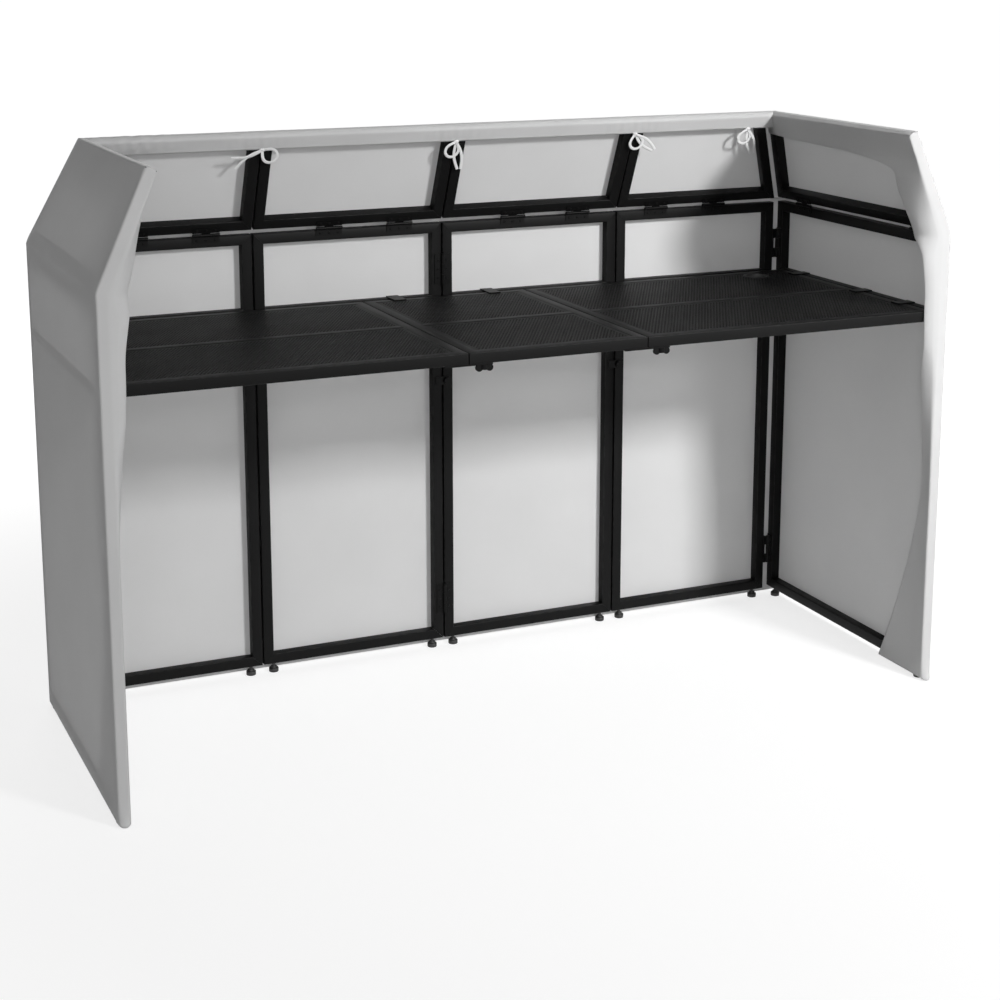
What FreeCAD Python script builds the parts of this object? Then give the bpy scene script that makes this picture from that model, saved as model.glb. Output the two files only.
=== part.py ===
"""Folding DJ booth: four front panels, two wings, leaning flaps, a lift-off table and a stretch cover.

Frame of the part: X runs along the front wall, +Y points at the audience, +Z is up.
The origin lies on the floor under the middle of the booth. All sizes are millimetres.
"""
import FreeCAD
import Part
import os

# Driving sizes, in millimetres unless the name says degrees
SIZES = {
    # square tube and the gaps between frames
    "tube": 25,
    "tube_wall": 1.2,
    "overrun": 2,
    "panel_gap": 4,
    "mid_panel_width": 476,
    "end_panel_width": 466,
    "floor_clearance": 24,
    "frame_depth": 715,
    "wing_clearance": 25,
    "wing_setback": 3,
    # flaps that lean in over the table
    "flap_height": 250,
    "flap_lean_degrees": 24,
    "flap_slit": 9,
    "wing_flap_setback": 3,
    # tabletop
    "table_height": 916,
    "wall_above_table": 178,
    "table_rear_gap": 15,
    "table_front_setback": 18,
    "table_end_gap": 3,
    "centre_table_width": 425,
    "table_seam": 2,
    "sheet_thickness": 1.2,
    "sheet_drop": 1,
    "sheet_opening_share": 0.5,
    "tongue_width": 30,
    "tongue_thickness": 3,
    "tongue_reach": 20,
    "tongue_web": 2.5,
    "tongue_web_depth": 20,
    "rear_tongue_offset": 125,
    "side_tongue_front_inset": 115,
    "side_tongue_middle_inset": 293,
    "side_tongue_rear_inset": 84,
    "joining_plate_length": 110,
    "joining_plate_thickness": 3,
    "bolt_offset": 40,
    "bolt_radius": 4,
    "bolt_engagement": 14,
    "bolt_hub_radius": 8,
    "bolt_hub_height": 12,
    "bolt_ear_radius": 8,
    "bolt_ear_thickness": 5,
    "bolt_ear_offset": 12,
    "grommet_radius": 30,
    "grommet_wall": 3,
    "grommet_flange": 4,
    "grommet_flange_thickness": 2,
    "grommet_depth": 14,
    "grommet_end_inset": 120,
    "grommet_rear_inset": 65,
    # butt hinges
    "barrel_radius": 4,
    "pin_radius": 2,
    "running_clearance": 0.4,
    "leaf_thickness": 2,
    "flap_hinge_length": 65,
    "flap_hinge_leaf": 18,
    "flap_hinge_near_inset": 110,
    "flap_hinge_far_inset": 187,
    "wing_flap_hinge_far_inset": 132,
    "wing_flap_hinge_near_inset": 85,
    "panel_hinge_length": 75,
    "panel_hinge_leaf": 20,
    "panel_hinge_upper_drop": 114,
    "panel_hinge_lower_rise": 107,
    "corner_hinge_length": 76,
    "corner_hinge_leaf": 20,
    "corner_hinge_upper_drop": 109,
    "corner_hinge_lower_rise": 112,
    "corner_barrel_radius": 5,
    "edge_hinge_leaf": 18,
    "edge_leaf_thickness": 1,
    "edge_barrel_radius": 1.8,
    "edge_pin_radius": 0.8,
    "edge_clearance": 0.2,
    # catch that keeps two panels in line
    "latch_height": 698,
    "latch_length": 38,
    "latch_width": 20,
    "latch_thickness": 3,
    "latch_knob_radius": 8,
    "latch_knob_height": 7,
    "latch_knob_offset": 9,
    # levelling feet
    "foot_radius": 12,
    "foot_thickness": 11,
    "foot_neck_radius": 8,
    "foot_neck_height": 4,
    "foot_stem_radius": 4,
    "foot_engagement": 16,
    "foot_inset": 27,
    # stretch cover
    "cover_gap": 0.4,
    "cover_thickness": 1,
    "cover_floor_gap": 8,
    "cover_side_reach": 3.6,
    "cover_top_reach": 8.5,
    "cover_seam": 0.3,
    "rim_hem": 35,
    "wing_hem_width": 145,
    "wing_hem_waist": 30,
    "wing_hem_waist_height": 597,
    "wing_hem_radius": 1481,
    "flap_hem": 100,
    # tied bows on the rim
    "bow_knot_radius": 6,
    "bow_loop_radius": 13,
    "bow_lace_width": 5,
    "bow_lace_thickness": 2.5,
    "bow_knot_thickness": 6,
    "bow_tail": 70,
    "bow_drop": 24,
    "bow_seat": 0.2,
    "bow_corner_inset": 50,
}

# Places worked out from the driving sizes
WALL_OUT = "Sizes.frame_depth / 2"
WALL_IN = "(Sizes.frame_depth / 2 - Sizes.tube)"
NEAR_END = "(-Sizes.frame_depth / 2)"
FAR_END = "(Sizes.frame_depth / 2 - Sizes.wing_setback)"
WING_LENGTH = "(Sizes.frame_depth - Sizes.wing_setback)"
END_PANEL_START = "(Sizes.panel_gap / 2 + Sizes.mid_panel_width + Sizes.panel_gap)"
HALF_FRONT = "(Sizes.panel_gap / 2 + Sizes.mid_panel_width + Sizes.panel_gap + Sizes.end_panel_width)"
WING_IN = f"({HALF_FRONT} + Sizes.wing_clearance)"
WING_OUT = f"({WING_IN} + Sizes.tube)"
LOWER_TOP = "(Sizes.table_height + Sizes.wall_above_table)"
PANEL_HEIGHT = f"({LOWER_TOP} - Sizes.floor_clearance)"
FLAP_PIN_Z = f"({LOWER_TOP} + Sizes.flap_slit / 2)"
FLAP_PIN_Y = f"({WALL_IN} - Sizes.barrel_radius)"
WING_PIN_X = f"({WING_IN} - Sizes.barrel_radius)"
CORNER_PIN_X = f"({HALF_FRONT} + Sizes.wing_clearance / 2)"
TABLE_REAR = f"({WALL_IN} - Sizes.table_rear_gap)"
TABLE_FRONT = f"({NEAR_END} + Sizes.table_front_setback)"
TABLE_DEPTH = f"({TABLE_REAR} - {TABLE_FRONT})"
TABLE_END = f"({WING_IN} - Sizes.table_end_gap)"
SIDE_TABLE_START = "(Sizes.centre_table_width / 2 + Sizes.table_seam)"
SIDE_TABLE_WIDTH = f"({TABLE_END} - {SIDE_TABLE_START})"
SEAM_X = "(Sizes.centre_table_width / 2 + Sizes.table_seam / 2)"
BAY_DEPTH = f"(({TABLE_DEPTH} - 3 * Sizes.tube) / 2)"

# Openings along X and along Y in one bay of a table section, and the one the cable grommet takes up
SIDE_OPENINGS = (12, 5)
CENTRE_OPENINGS = (6, 5)
GROMMET_OPENING = (10, 4)

# The flaps' corner edges slope in as fast as the flaps lean in
LEAN = "Sizes.flap_lean_degrees * 1 deg"
SLOPE = f"sin({LEAN})"
SLANT = f"atan(sin({LEAN}))"
SHARP_MITRE = f"(Sizes.tube * tan(45 deg + {SLANT} / 2))"
BLUNT_MITRE = f"(Sizes.tube * tan(45 deg - {SLANT} / 2))"
SQUARE_MITRE = "Sizes.tube"

UPRIGHT = "rotation(vector(1; 0; 0); 0)"
LEAN_TURN = "rotation(vector(1; 0; 0); Sizes.flap_lean_degrees)"
WING_TURN = "rotation(vector(0; 0; 1); -90)"
WING_LEAN_TURN = f"{WING_TURN} * {LEAN_TURN}"
LIE_FLAT = "rotation(vector(1; 0; 0); -90)"
ALONG_X = "rotation(vector(0; 1; 0); 90)"
ALONG_Y = "rotation(vector(1; 0; 0); -90)"
HINGE_STANDING = "rotation(vector(0; 1; 0); -90)"

doc = FreeCAD.newDocument("dj_booth")
sheet = doc.addObject("Spreadsheet::Sheet", "Sizes")
for row, (alias, number) in enumerate(SIZES.items(), start=1):
    sheet.set(f"A{row}", alias)
    sheet.set(f"B{row}", str(number))
    sheet.setAlias(f"B{row}", alias)
doc.recompute()

exported = []


def place(obj, x, y, z, turn=UPRIGHT):
    """Bind an object's placement to a point and a rotation written as expressions."""
    obj.setExpression("Placement", f"placement(vector({x}; {y}; {z}); {turn})")
    return obj


def bind(obj, **expressions):
    """Bind properties of an object to expressions."""
    for name, text in expressions.items():
        obj.setExpression(name, str(text))
    return obj


def export(obj, label):
    """Give a finished sub-part its name and put it on the list of files."""
    obj.Label = label
    exported.append(obj)
    return obj


def box(name, length, width, height, x, y, z):
    """Box with its low corner at the given point."""
    obj = doc.addObject("Part::Box", name)
    bind(obj, Length=length, Width=width, Height=height)
    return place(obj, x, y, z)


def cylinder(name, radius, height, x, y, z, turn=UPRIGHT):
    """Cylinder that stands on the given point and runs along its turned axis."""
    obj = doc.addObject("Part::Cylinder", name)
    bind(obj, Radius=radius, Height=height)
    return place(obj, x, y, z, turn)


def wedge(name, low, high, along, depth):
    """Prism whose X range changes from low to high over the along range of Y, with a depth range of Z."""
    obj = doc.addObject("Part::Wedge", name)
    bind(obj, Xmin=low[0], Xmax=low[1], X2min=high[0], X2max=high[1])
    bind(obj, Ymin=along[0], Ymax=along[1])
    return bind(obj, Zmin=depth[0], Z2min=depth[0], Zmax=depth[1], Z2max=depth[1])


def cut(name, base, tool):
    """One solid with another taken out of it."""
    obj = doc.addObject("Part::Cut", name)
    obj.Base = base
    obj.Tool = tool
    return obj


def fuse(name, shapes):
    """Several touching solids made into one."""
    obj = doc.addObject("Part::MultiFuse", name)
    obj.Shapes = shapes
    return obj


def group(name, members, x="0", y="0", z="0", turn=UPRIGHT):
    """Group of separate solids, moved as one."""
    obj = doc.addObject("Part::Compound", name)
    obj.Links = members
    return place(obj, x, y, z, turn)


def mirrored(name, source):
    """Copy of a right-hand piece for the left-hand side."""
    obj = doc.addObject("Part::Mirroring", name)
    obj.Source = source
    obj.Base = FreeCAD.Vector(0, 0, 0)
    obj.Normal = FreeCAD.Vector(1, 0, 0)
    return obj


def mitred_tube(name, length, start_mitre, end_mitre):
    """Hollow square tube on its outer edge along X, with both ends mitred."""
    outer = wedge(
        f"{name}_outer", ("0", length), (start_mitre, f"{length} - {end_mitre}"),
        ("0", "Sizes.tube"), ("-Sizes.tube", "0"))
    near_share = "Sizes.tube_wall / Sizes.tube"
    far_share = "(Sizes.tube - Sizes.tube_wall) / Sizes.tube"
    bore = wedge(
        f"{name}_bore",
        (f"{start_mitre} * {near_share} - Sizes.overrun",
         f"{length} - {end_mitre} * {near_share} + Sizes.overrun"),
        (f"{start_mitre} * {far_share} - Sizes.overrun",
         f"{length} - {end_mitre} * {far_share} + Sizes.overrun"),
        ("Sizes.tube_wall", "Sizes.tube - Sizes.tube_wall"),
        ("Sizes.tube_wall - Sizes.tube", "-Sizes.tube_wall"))
    return cut(name, outer, bore)


def lay_tube(tube, x, y, z, angle):
    """Turn a tube in the frame's own XZ plane, with its inner edge to the left of its run."""
    turn = f"rotation(vector(0; 1; 0); -({angle})) * rotation(vector(1; 0; 0); 90)"
    return place(tube, x, y, z, turn)


def cross_rail(name, width, low_z, y="0"):
    """Butt-ended tube between the two posts of a frame."""
    length = f"{width} - 2 * Sizes.tube"
    outer = box(f"{name}_outer", length, "Sizes.tube", "Sizes.tube", "Sizes.tube", y, low_z)
    inner = "Sizes.tube - 2 * Sizes.tube_wall"
    bore = box(
        f"{name}_bore", f"{length} + 2 * Sizes.overrun", inner, inner,
        "Sizes.tube - Sizes.overrun", f"{y} + Sizes.tube_wall", f"{low_z} + Sizes.tube_wall")
    return cut(name, outer, bore)


def frame_tubes(name, width, height, y="0", z="0", slant_start=False, slant_end=False, low_holes=()):
    """Four mitred tubes round a window, with the first or last post leaning in if asked.

    The inside face lies at y, the low outer corner at z. The holes are cut out of the low rail.
    """
    foot_start = SHARP_MITRE if slant_start else SQUARE_MITRE
    foot_end = SHARP_MITRE if slant_end else SQUARE_MITRE
    head_start = BLUNT_MITRE if slant_start else SQUARE_MITRE
    head_end = BLUNT_MITRE if slant_end else SQUARE_MITRE
    inset_start = f"{height} * {SLOPE}" if slant_start else "0"
    inset_end = f"{height} * {SLOPE}" if slant_end else "0"
    leaning_length = f"{height} / cos({SLANT})"

    low = lay_tube(mitred_tube(f"{name}_low_rail", width, foot_start, foot_end), "0", y, z, "0")
    for number, hole in enumerate(low_holes, start=1):
        low = cut(f"{name}_rail_drilled_{number}", low, hole)
    end_length = leaning_length if slant_end else height
    end_angle = f"90 deg + {SLANT}" if slant_end else "90"
    end = lay_tube(mitred_tube(f"{name}_end_post", end_length, foot_end, head_end), width, y, z, end_angle)
    top_length = f"({width} - {inset_start} - {inset_end})"
    top = lay_tube(
        mitred_tube(f"{name}_top_rail", top_length, head_end, head_start),
        f"{width} - {inset_end}", y, f"{z} + {height}", "180")
    start_length = leaning_length if slant_start else height
    start_angle = f"270 deg - {SLANT}" if slant_start else "270"
    start = lay_tube(
        mitred_tube(f"{name}_start_post", start_length, head_start, foot_start),
        inset_start, y, f"{z} + {height}", start_angle)
    return [low, end, top, start]


def foot_holes(name, width):
    """Clearance holes for two levelling stems through the low wall of a bottom rail."""
    holes = []
    for side, x in (("start", "Sizes.foot_inset"), ("end", f"{width} - Sizes.foot_inset")):
        holes.append(cylinder(
            f"{name}_{side}_hole", "Sizes.foot_stem_radius + Sizes.running_clearance",
            "Sizes.tube_wall + 2 * Sizes.overrun", x, "Sizes.tube / 2", "-Sizes.overrun"))
    return holes


def lower_frame(name, width, x, y, turn=UPRIGHT):
    """Standing panel with a cross rail level with the table."""
    members = frame_tubes(name, width, PANEL_HEIGHT, low_holes=foot_holes(name, width))
    rail_z = "Sizes.table_height - Sizes.floor_clearance - Sizes.tube"
    members.append(cross_rail(f"{name}_cross_rail", width, rail_z))
    return group(name, members, x, y, "Sizes.floor_clearance", turn)


def flap_frame(name, width, x, y, turn, slant_start=False, slant_end=False):
    """Low frame that leans in, built from its hinge line."""
    members = frame_tubes(
        name, width, "Sizes.flap_height", "Sizes.barrel_radius", "Sizes.flap_slit / 2",
        slant_start, slant_end)
    return group(name, members, x, y, FLAP_PIN_Z, turn)


def hinge_base(name, kind, at):
    """Fixed leaf of a butt hinge with its two end barrels and the pin, along X round its pin line."""
    length = f"Sizes.{kind}_length"
    leaf = f"Sizes.{kind}_leaf"
    neck = "(Sizes.barrel_radius + Sizes.running_clearance)"
    segment = f"({length} / 3 - Sizes.running_clearance)"
    face = "Sizes.barrel_radius - Sizes.leaf_thickness"
    start = f"{at} - {length} / 2"
    shapes = [
        box(f"{name}_plate", length, "Sizes.leaf_thickness", f"{leaf} - {neck}", start, face, f"-{leaf}"),
        cylinder(f"{name}_pin", "Sizes.pin_radius", length, start, "0", "0", ALONG_X),
    ]
    for side, x in (("start", start), ("end", f"{at} + {length} / 2 - {segment}")):
        shapes.append(box(f"{name}_{side}_neck", segment, "Sizes.leaf_thickness", neck, x, face, f"-{neck}"))
        shapes.append(cylinder(
            f"{name}_{side}_barrel", "Sizes.barrel_radius", segment, x, "0", "0", ALONG_X))
    return fuse(name, shapes)


def hinge_leaf(name, kind, at):
    """Moving leaf of a butt hinge with its middle barrel, bored for the pin."""
    length = f"Sizes.{kind}_length"
    leaf = f"Sizes.{kind}_leaf"
    neck = "(Sizes.barrel_radius + Sizes.running_clearance)"
    segment = f"({length} / 3)"
    face = "Sizes.barrel_radius - Sizes.leaf_thickness"
    middle = f"{at} - {segment} / 2"
    body = fuse(f"{name}_body", [
        box(f"{name}_plate", length, "Sizes.leaf_thickness", f"{leaf} - {neck}",
            f"{at} - {length} / 2", face, neck),
        box(f"{name}_neck", segment, "Sizes.leaf_thickness", neck, middle, face, "0"),
        cylinder(f"{name}_barrel", "Sizes.barrel_radius", segment, middle, "0", "0", ALONG_X),
    ])
    bore = cylinder(
        f"{name}_bore", "Sizes.pin_radius + Sizes.running_clearance", f"{segment} + 2 * Sizes.overrun",
        f"{middle} - Sizes.overrun", "0", "0", ALONG_X)
    return cut(name, body, bore)


def corner_hinges(side_name):
    """Pair of hinges in the gap between the end panel and the right wing: fixed halves, moving halves."""
    length = "Sizes.corner_hinge_length"
    segment = f"({length} / 3 - Sizes.running_clearance)"
    middle = f"({length} / 3)"
    half_gap = "Sizes.wing_clearance / 2"
    plate_width = "Sizes.corner_hinge_leaf + Sizes.leaf_thickness / 2"
    back = "-Sizes.leaf_thickness / 2"
    bases = []
    leaves = []
    heights = (("lower", "Sizes.floor_clearance + Sizes.corner_hinge_lower_rise"),
               ("upper", f"{LOWER_TOP} - Sizes.corner_hinge_upper_drop"))
    for level, middle_z in heights:
        name = f"corner_hinge_{side_name}_{level}"
        shapes = [
            box(f"{name}_plate", "Sizes.leaf_thickness", plate_width, length,
                f"-{half_gap}", back, f"-{length} / 2"),
            cylinder(f"{name}_pin", "Sizes.pin_radius", length, "0", "0", f"-{length} / 2"),
        ]
        for end, z in (("low", f"-{length} / 2"), ("high", f"{length} / 2 - {segment}")):
            shapes.append(box(
                f"{name}_{end}_web", half_gap, "Sizes.leaf_thickness", segment, f"-{half_gap}", back, z))
            shapes.append(cylinder(
                f"{name}_{end}_barrel", "Sizes.corner_barrel_radius", segment, "0", "0", z))
        bases.append(place(fuse(f"{name}_base", shapes), CORNER_PIN_X, WALL_IN, middle_z))
        body = fuse(f"{name}_leaf_body", [
            box(f"{name}_leaf_plate", "Sizes.leaf_thickness", plate_width, length,
                f"{half_gap} - Sizes.leaf_thickness", back, f"-{length} / 2"),
            box(f"{name}_leaf_web", half_gap, "Sizes.leaf_thickness", middle, "0", back, f"-{middle} / 2"),
            cylinder(f"{name}_leaf_barrel", "Sizes.corner_barrel_radius", middle,
                     "0", "0", f"-{middle} / 2"),
        ])
        bore = cylinder(
            f"{name}_leaf_bore", "Sizes.pin_radius + Sizes.running_clearance",
            f"{middle} + 2 * Sizes.overrun", "0", "0", f"-{middle} / 2 - Sizes.overrun")
        leaves.append(place(cut(f"{name}_leaf", body, bore), CORNER_PIN_X, WALL_IN, middle_z))
    return bases, leaves


def build_front_panels():
    """Four lower frames of the front wall and the four flaps on top of them."""
    spans = (("3", "Sizes.mid_panel_width", "Sizes.panel_gap / 2", "2", False),
             ("4", "Sizes.end_panel_width", END_PANEL_START, "1", True))
    for number, width, start, opposite, corner in spans:
        panel = export(lower_frame(f"panel_frame_{number}", width, start, WALL_IN), f"panel_frame_{number}")
        export(mirrored(f"panel_frame_{opposite}", panel), f"panel_frame_{opposite}")
        flap = flap_frame(f"flap_frame_{number}", width, start, FLAP_PIN_Y, LEAN_TURN, slant_end=corner)
        export(flap, f"flap_frame_{number}")
        export(mirrored(f"flap_frame_{opposite}", flap), f"flap_frame_{opposite}")


def build_wings():
    """Two side wings with their flaps."""
    wing = lower_frame("wing_frame_right", WING_LENGTH, WING_IN, FAR_END, WING_TURN)
    flap = flap_frame(
        "flap_frame_right", f"({WING_LENGTH} - Sizes.wing_flap_setback)", WING_PIN_X,
        f"{FAR_END} - Sizes.wing_flap_setback", WING_LEAN_TURN, slant_start=True)
    for piece, name in ((wing, "wing_frame"), (flap, "flap_frame")):
        export(piece, f"{name}_right")
        export(mirrored(f"{name}_left", piece), f"{name}_left")


def build_flap_hinges():
    """Butt hinges between the lower frames and the flaps, on the inside faces."""
    starts = {
        "1": (f"-{HALF_FRONT}", "Sizes.end_panel_width", False),
        "2": ("-Sizes.mid_panel_width - Sizes.panel_gap / 2", "Sizes.mid_panel_width", False),
        "3": ("Sizes.panel_gap / 2", "Sizes.mid_panel_width", False),
        "4": (END_PANEL_START, "Sizes.end_panel_width", True),
    }
    places = []
    for start, width, turned in starts.values():
        first = "Sizes.flap_hinge_near_inset" if turned else "Sizes.flap_hinge_far_inset"
        last = "Sizes.flap_hinge_far_inset" if turned else "Sizes.flap_hinge_near_inset"
        places.append(f"({start} + {first})")
        places.append(f"({start} + {width} - {last})")
    bases = [hinge_base(f"front_hinge_base_{i}", "flap_hinge", x) for i, x in enumerate(places)]
    leaves = [hinge_leaf(f"front_hinge_leaf_{i}", "flap_hinge", x) for i, x in enumerate(places)]
    export(group("flap_hinge_base_front", bases, "0", FLAP_PIN_Y, FLAP_PIN_Z), "flap_hinge_base_front")
    front_leaves = group("flap_hinge_leaf_front", leaves, "0", FLAP_PIN_Y, FLAP_PIN_Z, LEAN_TURN)
    export(front_leaves, "flap_hinge_leaf_front")

    wing_places = ("Sizes.wing_flap_hinge_far_inset",
                   f"({WING_LENGTH} - Sizes.wing_flap_hinge_near_inset)")
    bases = [hinge_base(f"wing_hinge_base_{i}", "flap_hinge", x) for i, x in enumerate(wing_places)]
    leaves = [hinge_leaf(f"wing_hinge_leaf_{i}", "flap_hinge", x) for i, x in enumerate(wing_places)]
    for kind, members, turn in (("base", bases, WING_TURN), ("leaf", leaves, WING_LEAN_TURN)):
        name = f"flap_hinge_{kind}"
        right = group(f"{name}_right", members, WING_PIN_X, FAR_END, FLAP_PIN_Z, turn)
        export(right, f"{name}_right")
        export(mirrored(f"{name}_left", right), f"{name}_left")


def edge_hinge(name):
    """Slim hinge shut between two panel edges, along X round a pin line just under the outer face."""
    length = "Sizes.panel_hinge_length"
    leaf = "Sizes.edge_hinge_leaf"
    thin = "Sizes.edge_leaf_thickness"
    neck = "(Sizes.edge_barrel_radius + Sizes.edge_clearance)"
    half_gap = "Sizes.panel_gap / 2"
    third = f"({length} / 3)"
    segment = f"({third} - Sizes.edge_clearance)"
    start = f"-{length} / 2"
    base = [
        box(f"{name}_base_plate", length, f"{leaf} - {neck}", thin, start, f"-{leaf}", f"-{half_gap}"),
        cylinder(f"{name}_pin", "Sizes.edge_pin_radius", length, start, "0", "0", ALONG_X),
    ]
    for end, x in (("start", start), ("end", f"{length} / 2 - {segment}")):
        base.append(box(f"{name}_{end}_neck", segment, neck, thin, x, f"-{neck}", f"-{half_gap}"))
        base.append(cylinder(
            f"{name}_{end}_barrel", "Sizes.edge_barrel_radius", segment, x, "0", "0", ALONG_X))
    top = f"{half_gap} - {thin}"
    body = fuse(f"{name}_leaf_body", [
        box(f"{name}_leaf_plate", length, f"{leaf} - {neck}", thin, start, f"-{leaf}", top),
        box(f"{name}_leaf_neck", third, neck, thin, f"-{third} / 2", f"-{neck}", top),
        cylinder(f"{name}_leaf_barrel", "Sizes.edge_barrel_radius", third,
                 f"-{third} / 2", "0", "0", ALONG_X),
    ])
    bore = cylinder(
        f"{name}_leaf_bore", "Sizes.edge_pin_radius + Sizes.edge_clearance", f"{third} + 2 * Sizes.overrun",
        f"-{third} / 2 - Sizes.overrun", "0", "0", ALONG_X)
    return [fuse(f"{name}_base", base), cut(f"{name}_leaf", body, bore)]


def build_panel_hinges():
    """Hinges of the accordion fold: inside at the middle of the wall, in the gap at the other folds."""
    fold = "(Sizes.mid_panel_width + Sizes.panel_gap)"
    inside_y = f"{WALL_IN} - Sizes.barrel_radius"
    outer_y = f"{WALL_OUT} - Sizes.edge_barrel_radius"
    levels = (("lower", "Sizes.floor_clearance + Sizes.panel_hinge_lower_rise"),
              ("upper", f"{LOWER_TOP} - Sizes.panel_hinge_upper_drop"))
    members = []
    for level, z in levels:
        name = f"panel_hinge_middle_{level}"
        halves = [
            hinge_base(f"{name}_base", "panel_hinge", "0"),
            hinge_leaf(f"{name}_leaf", "panel_hinge", "0"),
        ]
        members.append(group(name, halves, "0", inside_y, z, HINGE_STANDING))
        for side, x in (("left", f"-{fold}"), ("right", fold)):
            name = f"panel_hinge_{side}_{level}"
            members.append(group(name, edge_hinge(name), x, outer_y, z, HINGE_STANDING))
    export(group("panel_hinges", members), "panel_hinges")


def build_corner_hinges():
    """Hinges that carry the wings."""
    bases, leaves = corner_hinges("right")
    for kind, members in (("base", bases), ("leaf", leaves)):
        right = group(f"wing_hinge_{kind}_right", members)
        export(right, f"wing_hinge_{kind}_right")
        export(mirrored(f"wing_hinge_{kind}_left", right), f"wing_hinge_{kind}_left")


def build_latches():
    """Two catches on the inside of the wall, each across the gap between two panels."""
    members = []
    for name, x in (("middle", "0"), ("right", "(Sizes.mid_panel_width + Sizes.panel_gap)")):
        strap = box(
            f"latch_{name}_strap", "Sizes.latch_length", "Sizes.latch_thickness", "Sizes.latch_width",
            f"{x} - Sizes.latch_length / 2", f"{WALL_IN} - Sizes.latch_thickness",
            "Sizes.latch_height - Sizes.latch_width / 2")
        knob = cylinder(
            f"latch_{name}_knob", "Sizes.latch_knob_radius",
            "Sizes.latch_knob_height + Sizes.latch_thickness",
            f"{x} + Sizes.latch_knob_offset",
            f"{WALL_IN} - Sizes.latch_thickness - Sizes.latch_knob_height", "Sizes.latch_height", ALONG_Y)
        members.append(fuse(f"latch_{name}", [strap, knob]))
    export(group("panel_latches", members), "panel_latches")


def build_feet():
    """Twelve levelling feet, two under each standing frame, numbered in pairs left and right."""
    front_y = f"{WALL_IN} + Sizes.tube / 2"
    wing_x = f"{WING_IN} + Sizes.tube / 2"
    spots = (
        ("Sizes.panel_gap / 2 + Sizes.foot_inset", front_y),
        ("Sizes.panel_gap / 2 + Sizes.mid_panel_width - Sizes.foot_inset", front_y),
        (f"{END_PANEL_START} + Sizes.foot_inset", front_y),
        (f"{HALF_FRONT} - Sizes.foot_inset", front_y),
        (wing_x, f"{FAR_END} - Sizes.foot_inset"),
        (wing_x, f"{NEAR_END} + Sizes.foot_inset"),
    )
    pad = "Sizes.foot_thickness"
    for number, (x, y) in enumerate(spots, start=1):
        left_name = f"levelling_foot_{2 * number - 1}"
        right_name = f"levelling_foot_{2 * number}"
        foot = fuse(right_name, [
            cylinder(f"{right_name}_pad", "Sizes.foot_radius", pad, x, y, "0"),
            cylinder(f"{right_name}_neck", "Sizes.foot_neck_radius",
                     f"{pad} + Sizes.foot_neck_height", x, y, "0"),
            cylinder(f"{right_name}_stem", "Sizes.foot_stem_radius",
                     "Sizes.floor_clearance + Sizes.foot_engagement", x, y, "0"),
        ])
        export(foot, right_name)
        export(mirrored(left_name, foot), left_name)


def table_frame(name, width, x, bolt_hole):
    """Flat frame with a bar along its middle and, where a wing bolt enters, a hole in its front rail."""
    holes = []
    if bolt_hole:
        hole_x = "Sizes.bolt_offset - Sizes.table_seam / 2"
        holes.append(cylinder(
            f"{name}_bolt_hole", "Sizes.bolt_radius + Sizes.running_clearance",
            "Sizes.tube_wall + 2 * Sizes.overrun", hole_x,
            "Sizes.tube - Sizes.tube_wall - Sizes.overrun", "Sizes.tube / 2", ALONG_Y))
    members = frame_tubes(name, width, TABLE_DEPTH, low_holes=holes)
    members.append(cross_rail(f"{name}_middle_bar", width, f"{TABLE_DEPTH} / 2 - Sizes.tube / 2"))
    return group(name, members, x, TABLE_FRONT, "Sizes.table_height", LIE_FLAT)


def opened_sheet(name, width, x, y, openings, left_out=None):
    """Thin sheet with a grid of square openings, the same land all round each of them."""
    z = "(Sizes.table_height - Sizes.sheet_drop - Sizes.sheet_thickness)"
    pitch_x = f"({width} / {openings[0]})"
    pitch_y = f"({BAY_DEPTH} / {openings[1]})"
    land_share = "(1 - Sizes.sheet_opening_share) / 2"
    holes = []
    for column in range(openings[0]):
        for row in range(openings[1]):
            if (column, row) != left_out:
                holes.append(box(
                    f"{name}_opening_{column}_{row}", f"{pitch_x} * Sizes.sheet_opening_share",
                    f"{pitch_y} * Sizes.sheet_opening_share", "Sizes.sheet_thickness + 2 * Sizes.overrun",
                    f"{x} + {pitch_x} * ({column} + {land_share})", f"{y} + {pitch_y} * ({row} + {land_share})",
                    f"{z} - Sizes.overrun"))
    plain = box(f"{name}_plain", width, BAY_DEPTH, "Sizes.sheet_thickness", x, y, z)
    return cut(name, plain, group(f"{name}_openings", holes))


def table_sheets(name, width, x, openings, hole=None):
    """Two sheets let in flush between the tubes of one table frame, the rear one round a grommet's hole."""
    bay_width = f"({width} - 2 * Sizes.tube)"
    bay_x = f"({x} + Sizes.tube)"
    front = opened_sheet(f"{name}_front", bay_width, bay_x, f"({TABLE_FRONT} + Sizes.tube)", openings)
    rear_y = f"({TABLE_FRONT} + 2 * Sizes.tube + {BAY_DEPTH})"
    rear = opened_sheet(
        f"{name}_rear", bay_width, bay_x, rear_y, openings, left_out=GROMMET_OPENING if hole else None)
    if hole:
        rear = cut(f"{name}_rear_holed", rear, hole)
    return group(name, [front, rear])


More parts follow.
